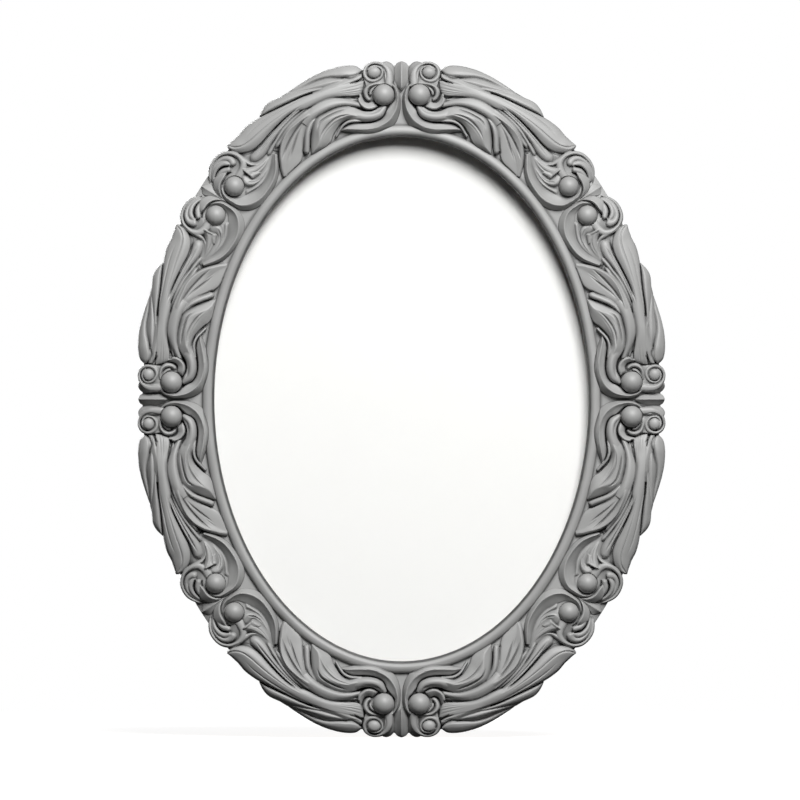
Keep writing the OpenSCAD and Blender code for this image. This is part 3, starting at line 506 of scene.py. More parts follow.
def carve_scroll_b(relief):
    """The scroll at the diagonal, and the lobes of the shell inside it."""
    relief.leaf([
        (139.5, 33.4, 1.6, 142.6, 37, 1.4, 0.45, 4.0), (143.5, 27, 1.2, 148.6, 33.8, 1.4, 0.4, 4.9),
        (151, 19.6, 0.9, 155.4, 29.2, 1.2, 0.36, 5.3), (160, 14.6, 0.8, 163, 25.4, 1.2, 0.36, 5.4),
        (172, 11.8, 0.6, 172, 23.8, 1.2, 0.36, 5.4), (184, 11, 0.6, 181, 24.4, 1.2, 0.36, 5.4),
        (195, 12.8, 0.6, 189, 28, 1.4, 0.38, 5.4), (203, 18, 0.6, 195, 31.4, 1.6, 0.4, 5.3),
        (208, 26, 0.5, 199.5, 35, 1.6, 0.42, 5.2), (208.6, 36, 0.4, 202, 41, 1.6, 0.45, 4.9),
        (207.4, 46, 0.2, 202.4, 46.6, 1.2, 0.5, 3.9), (203.6, 52.4, -0.2, 200.4, 50.6, 0.8, 0.5, 2.8),
        (198.6, 56, -0.2, 197.6, 54.6, 0.0, 0.5, 1.4),
    ], near=CREST, far=COVE)
    relief.leaf([
        (146.6, 35.6, -0.2, 147, 38.6, 0.2, 0.6, 1.2), (153, 33.2, -0.2, 154.5, 39.6, 0.0, 0.62, 2.6),
        (160, 31.5, -0.2, 162, 41.4, 1.4, 0.66, 3.4), (167, 31.6, -0.2, 168.5, 44.6, 2.2, 0.7, 4.0),
        (172, 33.2, -0.2, 172, 47.4, 2.8, 0.74, 4.5), (174.6, 37.5, 3.0, 174.8, 48.0, 2.8, 0.7, 4.4),
        (175.0, 38.5, 0.4, 175.1, 46.6, 0.4, 0.4, 0.8),
    ], near=ROUND, far=1.2)
    relief.leaf([
        (165, 31.4, -0.2, 166.5, 38.2, 0.9, 0.3, 3.6), (171.5, 32.4, -0.2, 171, 42, 0.9, 0.4, 4.2),
        (175.4, 34.6, 2.4, 173.8, 39.9, 2.2, 0.5, 3.8), (176.0, 35.6, -0.3, 175.2, 39.2, 0.0, 0.5, 0.2),
    ], near=ROUND, far=SOFT)
    relief.leaf([
        (148, 34.4, -0.4, 149, 35.6, 0.0, 0.5, 0.7), (156, 29.6, -0.6, 157, 32.3, 0.0, 0.35, 1.6),
        (165, 27.4, -0.6, 165.5, 32, 0.0, 0.35, 2.4), (174, 27.5, -0.6, 173, 33.4, 0.0, 0.35, 3.0),
        (181, 30.0, -0.2, 175.4, 36.2, 1.6, 0.32, 3.6), (185.0, 35.2, 0.0, 175.2, 39.6, 2.0, 0.34, 3.8),
        (184.2, 39.8, 0.0, 175.8, 42.4, 1.8, 0.4, 3.4), (181.4, 42.8, 0.0, 177.4, 44.2, 1.2, 0.5, 2.2),
    ], near=ROUND, far=1.3)
    relief.leaf([
        (151, 29.8, -0.6, 152, 32.2, -0.4, 0.5, 0.7), (160, 25.8, -0.8, 161, 29.4, -0.4, 0.4, 1.2),
        (169, 23.8, -0.8, 169, 28.2, -0.4, 0.4, 1.6), (178, 24.4, -0.8, 177, 29, -0.4, 0.4, 2.0),
        (186, 27.2, -0.8, 183.6, 31.4, -0.4, 0.4, 2.2), (191, 28.6, -0.8, 188, 33.6, -0.4, 0.45, 1.9),
        (193.4, 29.3, -0.8, 192.4, 30.5, -0.6, 0.5, 0.2),
    ], near=ROUND, far=1.4)


def carve_volute_b(relief):
    """The volute at the diagonal, its collar round the finger and its petal over the ball."""
    relief.bar([
        (202.2, 66.2, 1.2, -2.2), (197.4, 70.6, 2.4, -1.4), (190.4, 75.0, 3.0, -0.8),
        (183, 76.0, 3.2, -0.3), (176.0, 74.2, 3.4, 0.5), (170.4, 69.2, 3.8, 1.5),
        (167.8, 63, 4.2, 2.4), (167.4, 57, 5.2, 3.0), (169.4, 51.4, 6.6, 3.4), (174.4, 48.0, 7.6, 3.5),
        (179.8, 46.8, 8.4, 3.4), (184, 46.6, 8.4, 3.2),
    ], 1.8)
    relief.bar([
        (200.8, 65.0, 1.6, -1.6), (196, 68.7, 3.0, -0.8), (190, 71.6, 4.0, -0.1), (184, 72.2, 4.4, 0.6),
        (178.2, 70.2, 4.8, 1.6), (174.8, 65.6, 5.6, 2.8), (175.0, 60.6, 6.8, 3.8), (177.4, 57.8, 7.2, 4.2),
    ], 2.2, ends=(False, True))
    relief.bar([
        (200, 64.2, 2.0, -0.8), (195, 67.4, 3.8, 0.2), (190, 69.0, 4.8, 1.2), (185.0, 68.6, 5.6, 2.0),
        (180.8, 66.2, 5.6, 2.6), (179.0, 62.4, 5.4, 2.9), (178.2, 59.6, 4.8, 3.2),
    ], 2.0, ends=(False, True))
    relief.bar([
        (198, 61.6, 2.6, 0.6), (192.6, 63.4, 4.4, 2.2), (187.6, 62.6, 5.6, 3.2),
        (183.8, 59.8, 5.8, 3.9), (181, 57.4, 5.2, 4.4),
    ], 2.2, ends=(False, True))
    relief.leaf([
        (186.2, 57.6, 0.8, 186.4, 61.4, 1.0, 0.4, 3.2), (190, 57.0, 0.2, 191, 63.9, 1.4, 0.24, 5.2),
        (197.5, 56.0, -0.6, 198, 65.0, 0.8, 0.2, 5.0), (203, 53.0, -1.0, 204.9, 60.6, 0.2, 0.22, 4.4),
        (206.6, 48.6, -1.0, 208.2, 53.2, -0.2, 0.3, 3.0), (208.2, 44.6, -1.0, 208.8, 46, -1.0, 0.5, 0.8),
    ], near=ROUND, far=1.1)
    relief.leaf([
        (148, 38.4, 0.0, 149.6, 40.2, 0.0, 0.5, 1.0), (156, 38.0, 0.2, 156.5, 40.6, 0.0, 0.4, 1.8),
        (163, 40.2, 0.2, 161.6, 42.8, 0.0, 0.4, 2.4), (167.4, 44.4, 0.2, 163.4, 46.2, 0.0, 0.4, 2.8),
        (168.8, 50, 0.4, 163.8, 51, 0.0, 0.4, 3.0), (168.8, 56, 0.8, 164.6, 57, 0.0, 0.4, 3.0),
    ], near=SOFT, far=ROUND)


def carve_lines(cuts):
    """Flutes, veins and seams, as bars of [u, v, width, depth] that are taken off the relief."""
    for rows in (
        [(55, 37.2, 1.4, 0.0), (62, 37.3, 1.9, 1.2), (75, 37.0, 2.0, 1.7), (85, 35.2, 2.0, 1.6),
         (92, 30, 1.4, 0.2)],
        [(52, 30.6, 1.4, 0.0), (60, 31.6, 2.0, 1.0), (68, 31.8, 2.2, 1.3), (76, 30.2, 2.2, 1.3),
         (86, 26, 2.2, 1.1), (95.5, 19.4, 1.4, 0.2)],
        [(60, 34.4, 1.4, 0.0), (70, 34.6, 1.6, 0.3), (80, 33.2, 1.6, 0.3), (90, 29.2, 1.2, 0.0)],
        [(60, 28.4, 1.4, 0.0), (72, 28, 1.6, 0.4), (83, 24.2, 1.6, 0.4), (93, 18.4, 1.2, 0.0)],
        [(20.5, 31, 1.2, 0.2), (24, 28.4, 2.0, 1.0), (29, 27.0, 2.2, 1.1), (36, 27.2, 1.8, 0.5),
         (42, 28.6, 1.2, 0.0)],
        [(94, 46.4, 1.2, 0.0), (104, 43, 1.8, 1.1), (113, 39.8, 1.9, 1.5), (122, 35.8, 1.9, 1.5),
         (130, 31.8, 1.9, 1.3), (139.5, 26.4, 1.4, 0.3)],
        [(102, 41.4, 1.2, 0.0), (111, 36.4, 1.8, 1.0), (118, 31.8, 1.9, 1.4), (125, 27, 1.8, 1.2),
         (134, 21.4, 1.2, 0.1)],
        [(122, 30, 1.2, 0.0), (130, 26, 1.8, 0.5), (138, 21, 1.4, 0.2)],
        [(166.6, 75, 1.6, 0.8), (163.6, 69, 2.0, 0.9), (158.6, 64.6, 2.0, 0.8), (150, 62.3, 2.0, 0.7),
         (134, 61.8, 2.0, 0.6), (112, 61.4, 1.8, 0.4), (88, 61, 1.2, 0.0)],
        [(80, 63.8, 1.2, 0.0), (95, 65.1, 1.8, 0.6), (112, 66.4, 2.0, 0.7), (130, 68.0, 2.0, 0.7),
         (142, 68.6, 1.8, 0.5), (152, 68.0, 1.2, 0.0)],
        [(92, 56.4, 1.2, 0.0), (101, 55.8, 1.6, 0.8), (112, 54.2, 1.8, 1.2), (125, 52, 2.0, 1.3),
         (138, 49.6, 2.0, 1.2), (148, 48.1, 1.8, 1.0), (156, 46.8, 1.2, 0.2)],
        [(92, 58.8, 1.2, 0.0), (100, 58.2, 1.4, 0.7), (112, 56.8, 1.7, 1.3), (125, 54.8, 1.8, 1.5),
         (138, 52.8, 1.6, 1.0), (150, 51.9, 1.5, 0.8), (160, 53.8, 1.4, 0.5), (166, 59.6, 1.2, 0.3)],
        [(34.5, 53.4, 1.4, 0.4), (44, 53.4, 1.8, 0.5), (53, 54.4, 1.6, 0.3), (63, 56, 1.2, 0.0)],
        [(36.5, 50.6, 1.4, 0.4), (45, 51.2, 1.8, 0.5), (54, 53, 1.5, 0.3), (62, 54.8, 1.2, 0.0)],
        [(34, 57, 1.4, 0.3), (43, 56.4, 1.8, 0.4), (53, 57, 1.6, 0.2), (64, 58, 1.2, 0.0)],
        [(33.8, 62.6, 1.7, 2.4), (38, 61.0, 1.6, 2.8), (42.2, 59.3, 1.2, 1.2)],
        [(40.6, 45.1, 2.0, 2.8), (44.6, 45.8, 2.0, 3.0), (48.4, 47.4, 1.4, 1.4)],
        [(39, 48.8, 1.2, 0.3), (47, 50, 1.6, 0.4), (54, 51.6, 1.2, 0.1)],
        [(36, 64.6, 1.2, 0.5), (40, 63.8, 1.6, 0.7), (46, 63.6, 1.2, 0.2)],
        [(70, 64.0, 1.4, 0.4), (76, 64.8, 1.8, 1.0), (88, 66.2, 1.8, 1.0), (100, 67.4, 1.4, 0.4)],
        [(33, 69.4, 1.6, 0.8), (38, 66.4, 1.7, 1.2), (43.5, 65.2, 1.8, 1.6), (48.6, 67.2, 1.4, 1.2)],
        [(15, 56, 1.2, 0.4), (13.6, 61, 1.6, 0.9), (13.7, 66, 1.7, 1.2), (15.2, 70.2, 1.7, 1.2),
         (18.2, 73.4, 1.6, 1.0), (23, 74.2, 1.4, 0.8), (27.4, 72.6, 1.3, 0.5), (30, 68.6, 1.1, 0.2)],
        [(95.5, 36.0, 1.2, 0.4), (101, 28.8, 1.4, 0.7), (106.5, 20.8, 1.4, 0.7), (111, 13.6, 1.2, 0.6)],
        [(108, 30.6, 1.2, 0.5), (114, 23.0, 1.6, 1.0), (118.4, 17.4, 1.8, 1.6), (117.2, 13.8, 1.4, 1.0)],
        [(163, 29.4, 1.2, 0.4), (170, 29.1, 1.8, 1.0), (176, 31, 1.9, 1.1), (180.4, 35.4, 1.4, 0.7)],
        [(151, 36.5, 1.2, 0.3), (158, 35.2, 1.6, 0.7), (166, 36.2, 1.6, 0.7), (171, 39.5, 1.2, 0.3)],
        [(168.2, 49, 1.4, 0.6), (167.9, 46.4, 1.8, 1.2), (166, 43.4, 1.8, 1.0), (162.8, 41.3, 1.4, 0.5)],
        [(165.6, 58, 1.2, 0.2), (166.9, 64, 1.6, 0.8), (169.4, 70, 1.6, 0.8), (175, 75, 1.2, 0.3)],
        [(179.6, 60.8, 1.8, 1.6), (181.6, 62.8, 1.9, 2.4), (184.6, 65.6, 1.7, 2.0), (188.6, 66.6, 1.5, 1.5),
         (193.6, 66.2, 1.2, 0.5)],
        [(183.2, 55.2, 1.4, 1.0), (186.4, 57.4, 1.8, 2.0), (190.8, 57.8, 1.2, 0.6)],
        [(23, 53.6, 1.2, 0.6), (28, 51.6, 1.6, 1.2), (31.0, 48.0, 1.7, 1.2), (31.8, 44.6, 1.3, 0.7)],
    ):
        cuts.bar(rows, 1.0, GROOVE, across=9)


# Size of a cell of the carved surface, in squares of the grid
CELL = 0.225


def cells(first, last):
    """Grid places a cell apart."""
    return np.arange(first, last + CELL, CELL)


def carve_unit():
    """Heights of one repeat over the flat ground, on a grid of columns u and rows v."""
    u = cells(-1.0, GRID_U + 1)
    v = cells(4.0, 82.0)
    relief = Relief()
    for carve in (
        carve_base, carve_scroll_a, carve_leaf_a, carve_leaf_b, carve_long_leaf, carve_lobes,
        carve_fingers, carve_volute_a, carve_ear, carve_scroll_b, carve_volute_b,
    ):
        carve(relief)
    cuts = Relief()
    carve_lines(cuts)
    return u, v, relief.heights(u, v) - np.maximum(cuts.heights(u, v, 0.0), 0)


# Closed meshes of the carving

# Rows and columns of the grid that cut up a carving's underside, so that it follows the ground
UNDER_ROWS = (*np.arange(4.5, 13, 1.5).tolist(), (BAND_W - FALL_W) / SQUARE, GRID_V)
UNDER_STEP = 6.03

# Patches of fewer faces than this are left over, and aren't part of a carving
SPECK_FACES = 400

# Blur that eases the carved edges, in cells
EASE_CELLS = 1.0

# How far round a hollow its neighbours lie, in cells, and how deep a full hollow is, for the painted shade
# in the hollows
HOLLOW_REACH = 6
HOLLOW_DEPTH = 2.0


def written(bm, mesh):
    """The mesh, with a bmesh written into it, its faces turned outwards and smooth."""
    bmesh.ops.recalc_face_normals(bm, faces=bm.faces)
    bm.to_mesh(mesh)
    bm.free()
    mesh.shade_smooth()
    return mesh


def spots_of(mesh):
    """The points of a mesh, as rows."""
    spots = np.empty(len(mesh.vertices) * 3)
    mesh.vertices.foreach_get("co", spots)
    return spots.reshape(-1, 3)


def store(mesh, name, values):
    """Keeps a number, or a row of three, for each point of a mesh."""
    kind, key = ("FLOAT", "value") if values.ndim == 1 else ("FLOAT_VECTOR", "vector")
    mesh.attributes.new(name, kind, "POINT").data.foreach_set(key, values.astype(np.float32).ravel())


def blurred(heights, radius):
    """Heights with a soft blur, whose radius is in cells."""
    reach = math.ceil(3 * radius)
    weights = np.exp(-0.5 * (np.arange(-reach, reach + 1) / radius) ** 2)
    weights /= weights.sum()
    for axis in (0, 1):
        padded = np.pad(heights, [(reach, reach) if a == axis else (0, 0) for a in (0, 1)], "edge")
        heights = np.apply_along_axis(np.convolve, axis, padded, weights, "valid")
    return heights


def cutout(name, u, v, over):
    """Closed mesh, in grid squares and millimetres, of what stands over the moulding's face."""
    solid = over > GLUE
    kept = solid[:-1, :-1] | solid[1:, :-1] | solid[:-1, 1:] | solid[1:, 1:]
    index = np.arange(over.size).reshape(over.shape)
    i, j = np.nonzero(kept)
    faces = np.stack([index[i, j], index[i + 1, j], index[i + 1, j + 1], index[i, j + 1]], -1)
    used, faces = np.unique(faces, return_inverse=True)
    spots = np.stack([np.repeat(u, len(v)), np.tile(v, len(u)), over.ravel()], -1)[used]
    mesh = bpy.data.meshes.new(name)
    mesh.from_pydata(spots.tolist(), [], faces.reshape(-1, 4).tolist())
    bm = bmesh.new()
    bm.from_mesh(mesh)
    everything = bm.verts[:] + bm.edges[:] + bm.faces[:]
    bmesh.ops.bisect_plane(
        bm, geom=everything, dist=TOUCH, plane_co=(0, 0, GLUE), plane_no=(0, 0, 1), clear_inner=True
    )
    drop_specks(bm)
    rim = [e for e in bm.edges if e.is_boundary]
    under = bmesh.ops.triangle_fill(bm, edges=rim, use_beauty=False, normal=(0, 0, -1))["geom"]
    under = [f for f in under if isinstance(f, bmesh.types.BMFace)]
    lines = [((0, row, 0), (0, 1, 0)) for row in UNDER_ROWS]
    lines += [((column, 0, 0), (1, 0, 0)) for column in np.arange(u[0], u[-1], UNDER_STEP).tolist()]
    for spot, normal in lines:
        edges = list({e for f in under for e in f.edges})
        verts = list({v for f in under for v in f.verts})
        cut = bmesh.ops.bisect_plane(
            bm, geom=verts + edges + under, dist=TOUCH, plane_co=spot, plane_no=normal
        )
        under = [f for f in cut["geom"] if isinstance(f, bmesh.types.BMFace)]
    return written(bm, mesh)


def drop_specks(bm):
    """Removes what is left of the carving in patches too small to be part of it."""
    seen = set()
    specks = []
    for face in bm.faces:
        if face in seen:
            continue
        patch, todo = [], [face]
        seen.add(face)
        while todo:
            f = todo.pop()
            patch.append(f)
            for edge in f.edges:
                for other in edge.link_faces:
                    if other not in seen:
                        seen.add(other)
                        todo.append(other)
        if len(patch) < SPECK_FACES:
            specks += patch
    bmesh.ops.delete(bm, geom=specks, context="FACES")


def placed(mesh, name, put, hollow):
    """Copy of a cutout, put in its place on the frame. The hollow shares, which set its painted shade, go to
    its points.
    """
    copy = mesh.copy()
    copy.name = name
    u, v, over = spots_of(copy).T
    copy.vertices.foreach_set("co", put(u, v, over + ground_height(v)).ravel())
    store(copy, "hollow", hollow(u, v))
    bm = bmesh.new()
    bm.from_mesh(copy)
    return written(bm, copy)


def hollow_shares(u, v, over):
    """How deep each place of a relief lies among its neighbours, looked up by grid place. It sets how dark
    the painted shade in the hollows is.
    """
    filled = np.maximum(over, 0)
    depth = np.clip((blurred(filled, HOLLOW_REACH) - filled) / HOLLOW_DEPTH, -1, 1)

    def look_up(x, y):
        # the upper limits lie just inside the last cells
        i = np.clip((x - u[0]) / (u[1] - u[0]), 0, len(u) - 1.001)
        j = np.clip((y - v[0]) / (v[1] - v[0]), 0, len(v) - 1.001)
        a, b = i.astype(int), j.astype(int)
        s, t = i - a, j - b
        return (
            depth[a, b] * (1 - s) * (1 - t) + depth[a + 1, b] * s * (1 - t)
            + depth[a, b + 1] * (1 - s) * t + depth[a + 1, b + 1] * s * t
        )

    return look_up


# Meshes of the turned, bent and swept pieces

def closed_mesh(name, points, faces):
    """Mesh with its faces turned outwards and its poles joined."""
    mesh = bpy.data.meshes.new(name)
    mesh.from_pydata(points.reshape(-1, 3).tolist(), [], faces)
    bm = bmesh.new()
    bm.from_mesh(mesh)
    bmesh.ops.remove_doubles(bm, verts=bm.verts, dist=TOUCH * MM)
    return written(bm, mesh)


def loft(name, rings, endless=False):
    """Closed mesh through rings of points. An endless one joins its last ring to its first."""
    count, width = rings.shape[:2]
    faces = []
    for i in range(count if endless else count - 1):
        a, b = i * width, (i + 1) % count * width
        faces += [(a + j, a + (j + 1) % width, b + (j + 1) % width, b + j) for j in range(width)]
    if not endless:
        faces += [tuple(range(width)), tuple(range((count - 1) * width, count * width))]
    return closed_mesh(name, rings, faces)


def rounded(corners, steps=5):
    """Closed outline through corners of [x, y, reach of the rounding]."""
    corners = np.array(corners, float)
    out = []
    for i, (x, y, reach) in enumerate(corners):
        here = np.array([x, y])
        if reach == 0:
            out.append(here)
            continue
        arms = [corners[i - 1, :2] - here, corners[(i + 1) % len(corners), :2] - here]
        start, end = [here + arm / np.linalg.norm(arm) * reach for arm in arms]
        for t in np.linspace(0, 1, steps):
            out.append((1 - t) ** 2 * start + 2 * t * (1 - t) * here + t * t * end)
    return np.array(out)


def stood(points):
    """Points drawn lying, in millimetres, as they stand in the frame, in metres."""
    return np.stack([points[..., 0], BACK_Y - points[..., 2], points[..., 1]], -1) * MM


def oval_sweep(name, outline, angles, endless=False):
    """Mesh of an outline of [distance outside the sight edge, height] swept round the oval."""
    flat = oval_points(np.repeat(angles[:, None], len(outline), 1), outline[None, :, 0])
    heights = np.broadcast_to(outline[None, :, 1], flat.shape[:2])
    return loft(name, stood(np.concatenate([flat, heights[..., None]], -1)), endless)


def turned(name, outline, centre, steps=72):
    """Mesh turned from an outline of [radius, height over the back] round a centre that is
    drawn lying."""
    a = full_turn(steps)[:, None]
    r, z = np.array(outline, float).T[:, None, :]
    rings = np.stack([centre[0] + r * np.cos(a), centre[1] + r * np.sin(a), z + 0 * a], -1)
    faces = []
    count, width = rings.shape[:2]
    for i in range(count):
        a, b = i * width, (i + 1) % count * width
        faces += [(a + j, a + j + 1, b + j + 1, b + j) for j in range(width - 1)]
    return closed_mesh(name, stood(rings), faces)


def plate(name, loops, low, high, bevel, put):
    """Plate between two heights. Each loop has a full outline and an eased one for its bevels:
    the first goes round the plate, the others round its holes."""
    bm = bmesh.new()
    for full, eased in loops:
        rings = [
            [bm.verts.new((x, y, z)) for x, y in outline]
            for outline, z in ((eased, low), (full, low + bevel), (full, high - bevel), (eased, high))
        ]
        for a, b in zip(rings, rings[1:]):
            for j in range(len(a)):
                bm.faces.new((a[j - 1], a[j], b[j], b[j - 1]))
    for level in (low, high):
        rim = [e for e in bm.edges if e.is_boundary and abs(e.verts[0].co.z - level) < TOUCH]
        bmesh.ops.triangle_fill(bm, edges=rim, use_beauty=True, normal=(0, 0, 1))
    for vert in bm.verts:
        vert.co = stood(put(np.array(vert.co)))
    return written(bm, bpy.data.meshes.new(name))


def stadium(start, end, radius, steps=24):
    """Outline round a line on the X axis."""
    a = np.linspace(-math.pi / 2, math.pi / 2, steps)
    right = np.stack([end + radius * np.cos(a), radius * np.sin(a)], -1)
    left = np.stack([start - radius * np.cos(a), -radius * np.sin(a)], -1)
    return np.vstack([right, left])


def circle(x, radius, steps=48):
    """Outline round a place on the X axis."""
    a = full_turn(steps)
    return np.stack([x + radius * np.cos(a), radius * np.sin(a)], -1)


def joined(name, meshes):
    """One mesh of several."""
    bm = bmesh.new()
    for mesh in meshes:
        bm.from_mesh(mesh)
        bpy.data.meshes.remove(mesh)
    return written(bm, bpy.data.meshes.new(name))


def linked(name, data):
    """New object in the scene."""
    obj = bpy.data.objects.new(name, data)
    bpy.context.scene.collection.objects.link(obj)
    return obj


def show(mesh, slot, nodes, body="root", sharp=35):
    """Shows a mesh as a piece of the object, in place of its CAD nodes. Edges that turn by more
    than sharp, in degrees, aren't smooth."""
    mesh.set_sharp_from_angle(angle=math.radians(sharp))
    mesh.materials.append(FINISHES[slot])
    obj = linked(mesh.name, mesh)
    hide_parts(*nodes)
    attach(obj, body)


# Finishes

def linear(hex_colour):
    """Linear colour of an sRGB hex value."""
    parts = [int(hex_colour[i:i + 2], 16) / 255 for i in (1, 3, 5)]
    return (*(c / 12.92 if c <= 0.04045 else ((c + 0.055) / 1.055) ** 2.4 for c in parts), 1)


def add(tree, kind, settings=None, **sockets):
    """Adds a node with its settings, and its sockets' values or the outputs that feed them. A
    socket is given by its name, or by an underscore and its number."""
    node = tree.nodes.new(kind)
    for name, value in (settings or {}).items():
        setattr(node, name, value)
    for name, value in sockets.items():
        key = int(name[1:]) if name[1:].isdigit() else name.replace("_", " ")
        socket = node.inputs[key]
        if isinstance(value, bpy.types.NodeSocket):
            tree.links.new(value, socket)
        else:
            socket.default_value = value
    return node


def finish(name):
    """Empty material and its node tree."""
    material = bpy.data.materials.new(name)
    material.use_nodes = True
    material.node_tree.nodes.clear()
    return material, material.node_tree


def ramp(tree, value, stops):
    """Colour ramp through stops of [place, sRGB hex]."""
    node = add(tree, "ShaderNodeValToRGB", Fac=value)
    marks = node.color_ramp.elements
    while len(marks) < len(stops):
        marks.new(0.5)
    for mark, (place, colour) in zip(marks, stops):
        mark.position = place
        mark.color = linear(colour)
    return node


# Patterns in millimetres: the brushed grain of the paint and its faint clouds, and the length, width
# and depth of the beech's figure, which is drawn as coarse as it needs to show
PAINT_GRAIN = 1.2
PAINT_CLOUD = 30
BEECH_GRAIN = (45, 1.8, 1.8)

# Painted shade over the paint, darker by how deep a place lies among its neighbours
PAINTED_SHADE_STOPS = [(0.0, "#FFFFFF"), (0.3, "#D4D4D4"), (0.7, "#808080"), (1.0, "#383838")]


def chalk_paint(name, bare_back=False):
    """Chalk paint brushed over gesso: matt and even, with painted shade that darkens the hollows. The
    moulding's back is bare beech."""
    material, tree = finish(name)
    place = add(tree, "ShaderNodeTexCoord").outputs["Object"]
    grain = add(
        tree, "ShaderNodeTexNoise", Vector=place, Scale=1 / (PAINT_GRAIN * MM), Detail=3.0, Roughness=0.6
    )
    cloud = add(tree, "ShaderNodeTexNoise", Vector=place, Scale=1 / (PAINT_CLOUD * MM), Detail=2.0)
    paint = ramp(tree, cloud.outputs["Fac"], [(0.3, "#8C8C8B"), (0.7, "#949493")])
    # painted shade: the paint is multiplied darker where a place lies deep among its neighbours
    hollow = add(tree, "ShaderNodeAttribute", {"attribute_name": "hollow"})
    painted_shade = ramp(tree, hollow.outputs["Fac"], PAINTED_SHADE_STOPS)
    colour = add(tree, "ShaderNodeMix", {"data_type": "RGBA", "blend_type": "MULTIPLY"}, _0=1.0,
                 _6=paint.outputs["Color"], _7=painted_shade.outputs["Color"])
    if bare_back:
        bare = add(tree, "ShaderNodeAttribute", {"attribute_name": "bare"})
        drawn = add(tree, "ShaderNodeAttribute", {"attribute_name": "grain"})
        wood = beech(tree, drawn.outputs["Vector"])
        colour = add(tree, "ShaderNodeMix", {"data_type": "RGBA"}, _0=bare.outputs["Fac"],
                     _6=colour.outputs[2], _7=wood.outputs["Color"])
    bump = add(tree, "ShaderNodeBump", Strength=0.2, Distance=0.1 * MM, Height=grain.outputs["Fac"])
    shader = add(
        tree, "ShaderNodeBsdfPrincipled", Base_Color=colour.outputs[2], Roughness=0.55,
        Specular_IOR_Level=0.65, Normal=bump.outputs["Normal"]
    )
    add(tree, "ShaderNodeOutputMaterial", Surface=shader.outputs["BSDF"])
    return material


def beech(tree, place):
    """Colour of sawn beech, with its grain along the first direction of a place."""
    drawn = add(tree, "ShaderNodeVectorMath", {"operation": "MULTIPLY"}, _0=place,
                _1=[1 / (size * MM) for size in BEECH_GRAIN])
    figure = add(tree, "ShaderNodeTexNoise", Vector=drawn.outputs[0], Scale=1.0, Detail=5.0, Roughness=0.6)
    return ramp(tree, figure.outputs["Fac"], [(0.3, "#B08A60"), (0.5, "#C9A57B"), (0.7, "#D6B58D")])


def grained(name, grain, stops, roughness, bump, metallic=0.0):
    """Material with a fine grain, whose size and relief are in millimetres, and a roughness that
    goes with the grain's colours."""
    material, tree = finish(name)
    place = add(tree, "ShaderNodeTexCoord").outputs["Object"]
    cloud = add(tree, "ShaderNodeTexNoise", Vector=place, Scale=1 / (grain * MM), Detail=6.0, Roughness=0.65)
    colour = ramp(tree, cloud.outputs["Fac"], stops)
    dull = add(tree, "ShaderNodeMapRange", _0=cloud.outputs["Fac"], _1=0.3, _2=0.7, _3=roughness[0],
               _4=roughness[1])
    relief = add(tree, "ShaderNodeBump", Strength=0.5, Distance=bump * MM, Height=cloud.outputs["Fac"])
    shader = add(
        tree, "ShaderNodeBsdfPrincipled", Base_Color=colour.outputs["Color"],
        Roughness=dull.outputs["Result"], Metallic=metallic, Normal=relief.outputs["Normal"]
    )
    add(tree, "ShaderNodeOutputMaterial", Surface=shader.outputs["BSDF"])
    return material


def spline_wood():
    """Beech, planed, without a finish."""
    material, tree = finish("beech")
    place = add(tree, "ShaderNodeTexCoord").outputs["Object"]
    shader = add(
        tree, "ShaderNodeBsdfPrincipled", Base_Color=beech(tree, place).outputs["Color"], Roughness=0.65
    )
    add(tree, "ShaderNodeOutputMaterial", Surface=shader.outputs["BSDF"])
    return material


def picture_glass():
    """Float glass: clear, with a faint reflection."""
    material, tree = finish("float_glass")
    clear = add(tree, "ShaderNodeBsdfTransparent", Color=linear("#FDFDFD"))
    gloss = add(tree, "ShaderNodeBsdfGlossy", Color=linear("#FFFFFF"), Roughness=0.02)
    slant = add(tree, "ShaderNodeLayerWeight", Blend=0.5)
    steep = add(tree, "ShaderNodeMath", {"operation": "POWER"}, _0=slant.outputs["Facing"], _1=5.0)
    share = add(tree, "ShaderNodeMath", {"operation": "MULTIPLY_ADD"}, _0=steep.outputs[0], _1=0.96, _2=0.04)
    both = add(tree, "ShaderNodeMixShader", _0=share.outputs[0], _1=clear.outputs["BSDF"],
               _2=gloss.outputs["BSDF"])
    add(tree, "ShaderNodeOutputMaterial", Surface=both.outputs["Shader"])
    return material


FINISHES = {
    # Chalk paint on the beech moulding, on the carved limewood and on the turned balls: one soft grey
    # with a low sheen on the crests, and painted shade that darkens the hollows
    "painted_moulding": chalk_paint("chalk_paint_on_beech", True),
    "painted_carving": chalk_paint("chalk_paint_on_limewood"),
    "painted_balls": chalk_paint("chalk_paint_on_turned_balls"),
    # Beech, planed, without a finish: pale brown and dull
    "spline_wood": spline_wood(),
    # Float glass with ground edges: nearly invisible from the front, and a mirror at a slant
    "picture_glass": picture_glass(),
    # Acid-free card, uncoated: an even, warm white without a sheen
    "white_card": grained("cotton_card", 0.6, [(0.3, "#EFEFED"), (0.7, "#F4F4F2")], (0.75, 0.85), 0.02),
    # Hardboard, pressed from wood fibres, with its rough side out: dark brown and mottled. Its fibres
    # are too fine to show, so the mottle is coarser than they are
    "hardboard": grained("hardboard", 1.4, [(0.32, "#60412A"), (0.68, "#93704C")], (0.7, 0.85), 0.25),
    # Brass: stamped plates, turned screws and drawn wire, yellow and bright, gone dull in places
    "brass_plate": grained("stamped_brass", 5, [(0.3, "#A98642"), (0.7, "#D0AC62")], (0.5, 0.32), 0.03, 1.0),
    "brass_screws": grained("turned_brass", 3, [(0.3, "#B08C45"), (0.7, "#D8B56A")], (0.4, 0.26), 0.02, 1.0),
    "brass_wire": grained("drawn_brass", 4, [(0.3, "#AE8A46"), (0.7, "#D8B56A")], (0.38, 0.24), 0.02, 1.0),
    # Moulded rubber: dark grey and matt
    "grey_rubber": grained("moulded_rubber", 0.8, [(0.3, "#343434"), (0.7, "#424242")], (0.75, 0.85), 0.05),
}
